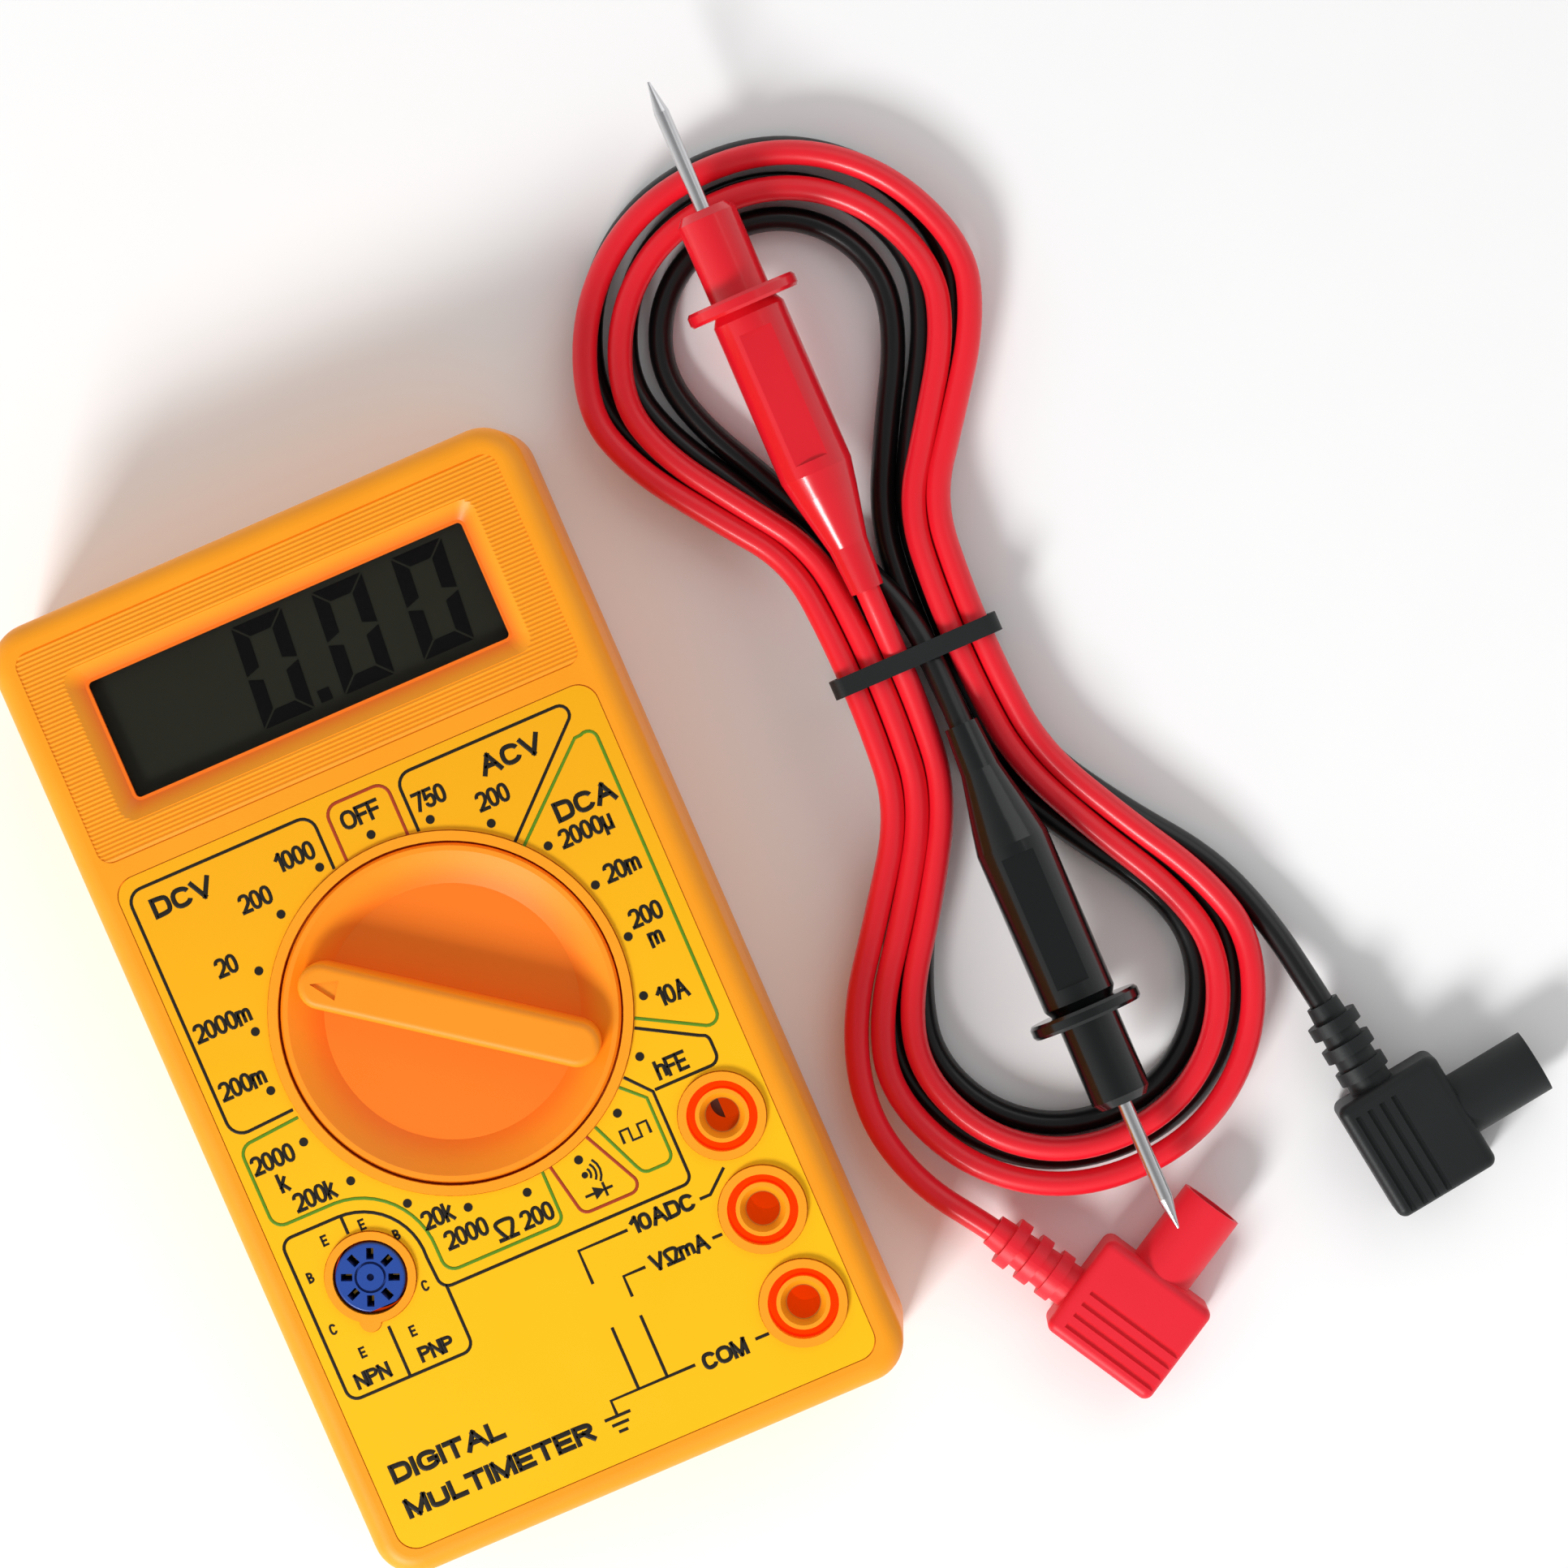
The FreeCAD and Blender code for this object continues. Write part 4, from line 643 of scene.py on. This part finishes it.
line("black", [(51.2, 79.6), (53.8, 82.6)] + bend(52.6, 93.4, 1.2, 90, 180)
     + bend(21.9, 93.2, 1.4, 180, 270) + bend(12.3, 89.6, 8.1, 95, 0, 12)
     + bend(6.1, 82.9, 1.4, 0, -90) + bend(6.1, 101.5, 1.4, -90, -180)
     + bend(19.8, 101.5, 1.4, 180, 90) + [(21.2, 94.3)])
line("black", [(12.7, 81.6), (12.7, 83.9)])
line("black", [(12.7, 96.2), (12.7, 102.8)])
print("black outlines have", len(ink_meshes["black"].faces), "faces with the words")

# %% [markdown]
# ## Words and lines by the jacks
# The three jacks are named, and thin lines lead from the names to the jacks and to the sign
# for ground.

# %% Jack names
letters("black", "10ADC", 44.7, 53.1, 95.6, 97.8, 0.5)
letters("black", "VΩmA", 45.1, 52.7, 100.8, 103.0, 0.48)
letters("black", "COM", 46.1, 52.0, 114.4, 116.6, 0.52)
line("black", [(53.8, 96.9), (55.2, 96.9), (58.0, 94.5)])
line("black", [(44.2, 96.9), (37.7, 96.9), (37.7, 101.3)])
line("black", [(53.3, 101.9), (54.6, 101.9)])
line("black", [(44.4, 101.9), (41.5, 101.9), (41.5, 104.6)])
line("black", [(53.2, 115.3), (55.0, 115.3)])
line("black", [(45.2, 115.3), (34.0, 115.3), (34.0, 117.2)])
line("black", [(37.7, 107.1), (37.7, 115.3)])
line("black", [(41.5, 107.1), (41.5, 115.3)])
for v, half in ((117.3, 1.7), (118.25, 1.1), (119.2, 0.6)):
    line("black", [(34.0 - half, v), (34.0 + half, v)])

# %% Signs for the buzzer, the diode and the square wave
dot("black", 42.1, 88.7, 0.4)
for reach in (0.95, 1.6, 2.2):
    line("black", bend(41.9, 88.7, reach, 50, 130, 4), 0.3)
line("black", [(41.1, 91.2), (42.4, 91.2)], 0.34)
line("black", [(43.6, 91.2), (44.7, 91.2)], 0.34)
dot("black", 42.75, 91.2, 0.95, sides=3)
line("black", [(43.7, 90.3), (43.7, 92.1)], 0.34)
line("black", [(48.1, 87.1), (48.1, 85.5), (49.2, 85.5), (49.2, 87.1), (50.4, 87.1),
               (50.4, 85.5), (51.6, 85.5), (51.6, 87.1)], 0.38)

# %% Letters round the transistor socket
for words, u, v in (("E", 9.7, 83.5), ("E", 14.7, 83.5), ("B", 6.3, 87.0), ("B", 18.1, 86.3),
                    ("C", 6.3, 93.9), ("C", 18.8, 93.4), ("E", 8.5, 97.9), ("E", 15.2, 97.9)):
    label("black", words, u, v, 1.4, 0.9, 0.28)
letters("black", "NPN", 6.2, 10.8, 100.0, 102.0, 0.44)
letters("black", "PNP", 14.7, 19.2, 100.0, 102.0, 0.44)

# %% Set the inks on the film
for name, shape in ink_meshes.items():
    mesh = bpy.data.meshes.new("print_" + name)
    shape.to_mesh(mesh)
    shape.free()
    mesh.materials.append(ink_finishes[name])
    piece = bpy.data.objects.new("print_" + name, mesh)
    bpy.context.scene.collection.objects.link(piece)
    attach(piece, "case")
    print("print_" + name, len(mesh.polygons), "faces")

# %% [markdown]
# ## Figures on the display
# A liquid crystal figure is made of seven bars with mitred ends, leaning a little.  One bar is
# a thin box whose inner side is made shorter, and copies of it are turned and set where the
# figure needs them.  The meter shows a reading of nought, so six of the seven bars are dark.

# %% The bars of a figure
FIGURE_HEIGHT = 13.0
FIGURE_WIDTH = 6.7
BAR = 1.85                      # width of a bar
GAP = 0.32                      # between the tips of two bars
BLUNT = 0.35                    # a blunt end is cut back by this much of the bar's width
BAR_THICKNESS = 0.02
POINT = 1.6                     # side of the square decimal point
LEAN = math.tan(math.radians(5.0))
digits = bmesh.new()


def bar(middle, length, quarter_turns, corner, blunt=0):
    """One bar, longest on its outer side: both ends mitred, or one of them (1 or -1) blunt."""
    long = length - GAP
    blunt_cut = BAR * (BLUNT if blunt else 1.0)
    corners = bmesh.ops.create_cube(digits, size=1.0)["verts"]
    bmesh.ops.scale(digits, vec=(long, BAR, BAR_THICKNESS), verts=corners)
    inner = [v for v in corners if v.co.y < 0]
    bmesh.ops.scale(digits, vec=((long - BAR - blunt_cut) / long, 1, 1), verts=inner)
    bmesh.ops.translate(digits, vec=(blunt * (BAR - blunt_cut) / 2, 0, 0), verts=inner)
    turned = Matrix.Rotation(quarter_turns * math.pi / 2, 3, "Z")
    bmesh.ops.rotate(digits, matrix=turned, verts=corners)
    bmesh.ops.translate(digits, vec=(*middle, 0), verts=corners)
    for vertex in corners:
        vertex.co.x += vertex.co.y * LEAN
    bmesh.ops.translate(digits, vec=corner, verts=corners)


def nought(left, lower):
    """A nought: every bar of the figure but the middle one."""
    corner = spot(left, lower, display_level) / MM + Vector((0, 0, BAR_THICKNESS))
    near, far = BAR / 2, FIGURE_WIDTH - BAR / 2
    bar((FIGURE_WIDTH / 2, FIGURE_HEIGHT - near), FIGURE_WIDTH, 0, corner)
    bar((FIGURE_WIDTH / 2, near), FIGURE_WIDTH, 2, corner)
    for level, way in ((0.25, 1), (0.75, -1)):
        bar((near, level * FIGURE_HEIGHT), FIGURE_HEIGHT / 2, 1, corner, way)
        bar((far, level * FIGURE_HEIGHT), FIGURE_HEIGHT / 2, -1, corner, -way)


# %% Write the reading
for left in (27.6, 38.3, 48.9):
    nought(left, 23.5)
point = bmesh.ops.create_cube(digits, size=1.0)["verts"]
bmesh.ops.scale(digits, vec=(POINT, POINT, BAR_THICKNESS), verts=point)
point_place = spot(36.1, 22.5, display_level + BAR_THICKNESS * MM) / MM
bmesh.ops.translate(digits, vec=point_place, verts=point)
bmesh.ops.scale(digits, vec=(MM, MM, MM), verts=digits.verts)
bmesh.ops.recalc_face_normals(digits, faces=digits.faces)
digits_mesh = bpy.data.meshes.new("display_figures")
digits.to_mesh(digits_mesh)
digits.free()
digits_mesh.materials.append(finish("crystal_black", "050507", 0.5, shine=0.1))
display_figures = bpy.data.objects.new("display_figures", digits_mesh)
bpy.context.scene.collection.objects.link(display_figures)
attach(display_figures, "case")
print("reading of", len(digits_mesh.polygons), "faces")

# %% [markdown]
# ## Studio
# A plain white table, one soft lamp towards the low left corner of the meter, a weaker and
# larger one opposite, and a white surround that is brightest at the horizon keep the shadows
# soft and pale.

# %% Table
TABLE_REACH = 3.0
TABLE_DROP = 0.2 * MM           # the table's top is just below whatever lies on it
table = bmesh.new()
bmesh.ops.create_grid(table, x_segments=1, y_segments=1, size=TABLE_REACH)
table_mesh = bpy.data.meshes.new("table")
table.to_mesh(table_mesh)
table.free()
table_mesh.materials.append(finish("table", "FFFFFF", 0.7, grain=4.0, bump=0.01, spread=0.01))
table_top = bpy.data.objects.new("table", table_mesh)
bpy.context.scene.collection.objects.link(table_top)
table_mesh.transform(Matrix.Translation((0, 0, -TABLE_DROP)))
print("table", 2 * TABLE_REACH, "m across")


# %% Lamps
LAMP_AIM = Vector((0.02, 0.0, 0.0))


def lamp(name, place, power, size):
    """A square soft lamp that looks at the meter's side next to the leads."""
    data = bpy.data.lights.new(name, "AREA")
    data.energy = power
    data.size = size
    light = bpy.data.objects.new(name, data)
    bpy.context.scene.collection.objects.link(light)
    look = (LAMP_AIM - Vector(place)).to_track_quat("-Z", "Y")
    light.matrix_world = Matrix.Translation(place) @ look.to_matrix().to_4x4()
    print(name, power, "W")


lamp("key", (-0.60, -0.52, 0.62), 8.5, 0.3)
lamp("fill", (0.7, 0.5, 0.8), 1.5, 0.8)

# %% Surround
HORIZON, OVERHEAD = 0.95, 0.3   # strengths of the white surround
world = bpy.data.worlds.new("studio")
world.use_nodes = True
sky = world.node_tree
sky.nodes["Background"].inputs["Color"].default_value = (1.0, 1.0, 1.0, 1.0)
direction = sky.nodes.new("ShaderNodeTexCoord")
height_of = sky.nodes.new("ShaderNodeSeparateXYZ")
brightness = sky.nodes.new("ShaderNodeMapRange")
brightness.inputs["To Min"].default_value = HORIZON
brightness.inputs["To Max"].default_value = OVERHEAD
sky.links.new(direction.outputs["Generated"], height_of.inputs["Vector"])
sky.links.new(height_of.outputs["Z"], brightness.inputs["Value"])
sky.links.new(brightness.outputs["Result"], sky.nodes["Background"].inputs["Strength"])
bpy.context.scene.world = world
bpy.context.scene.view_settings.view_transform = "Standard"
print("surround from", HORIZON, "to", OVERHEAD)
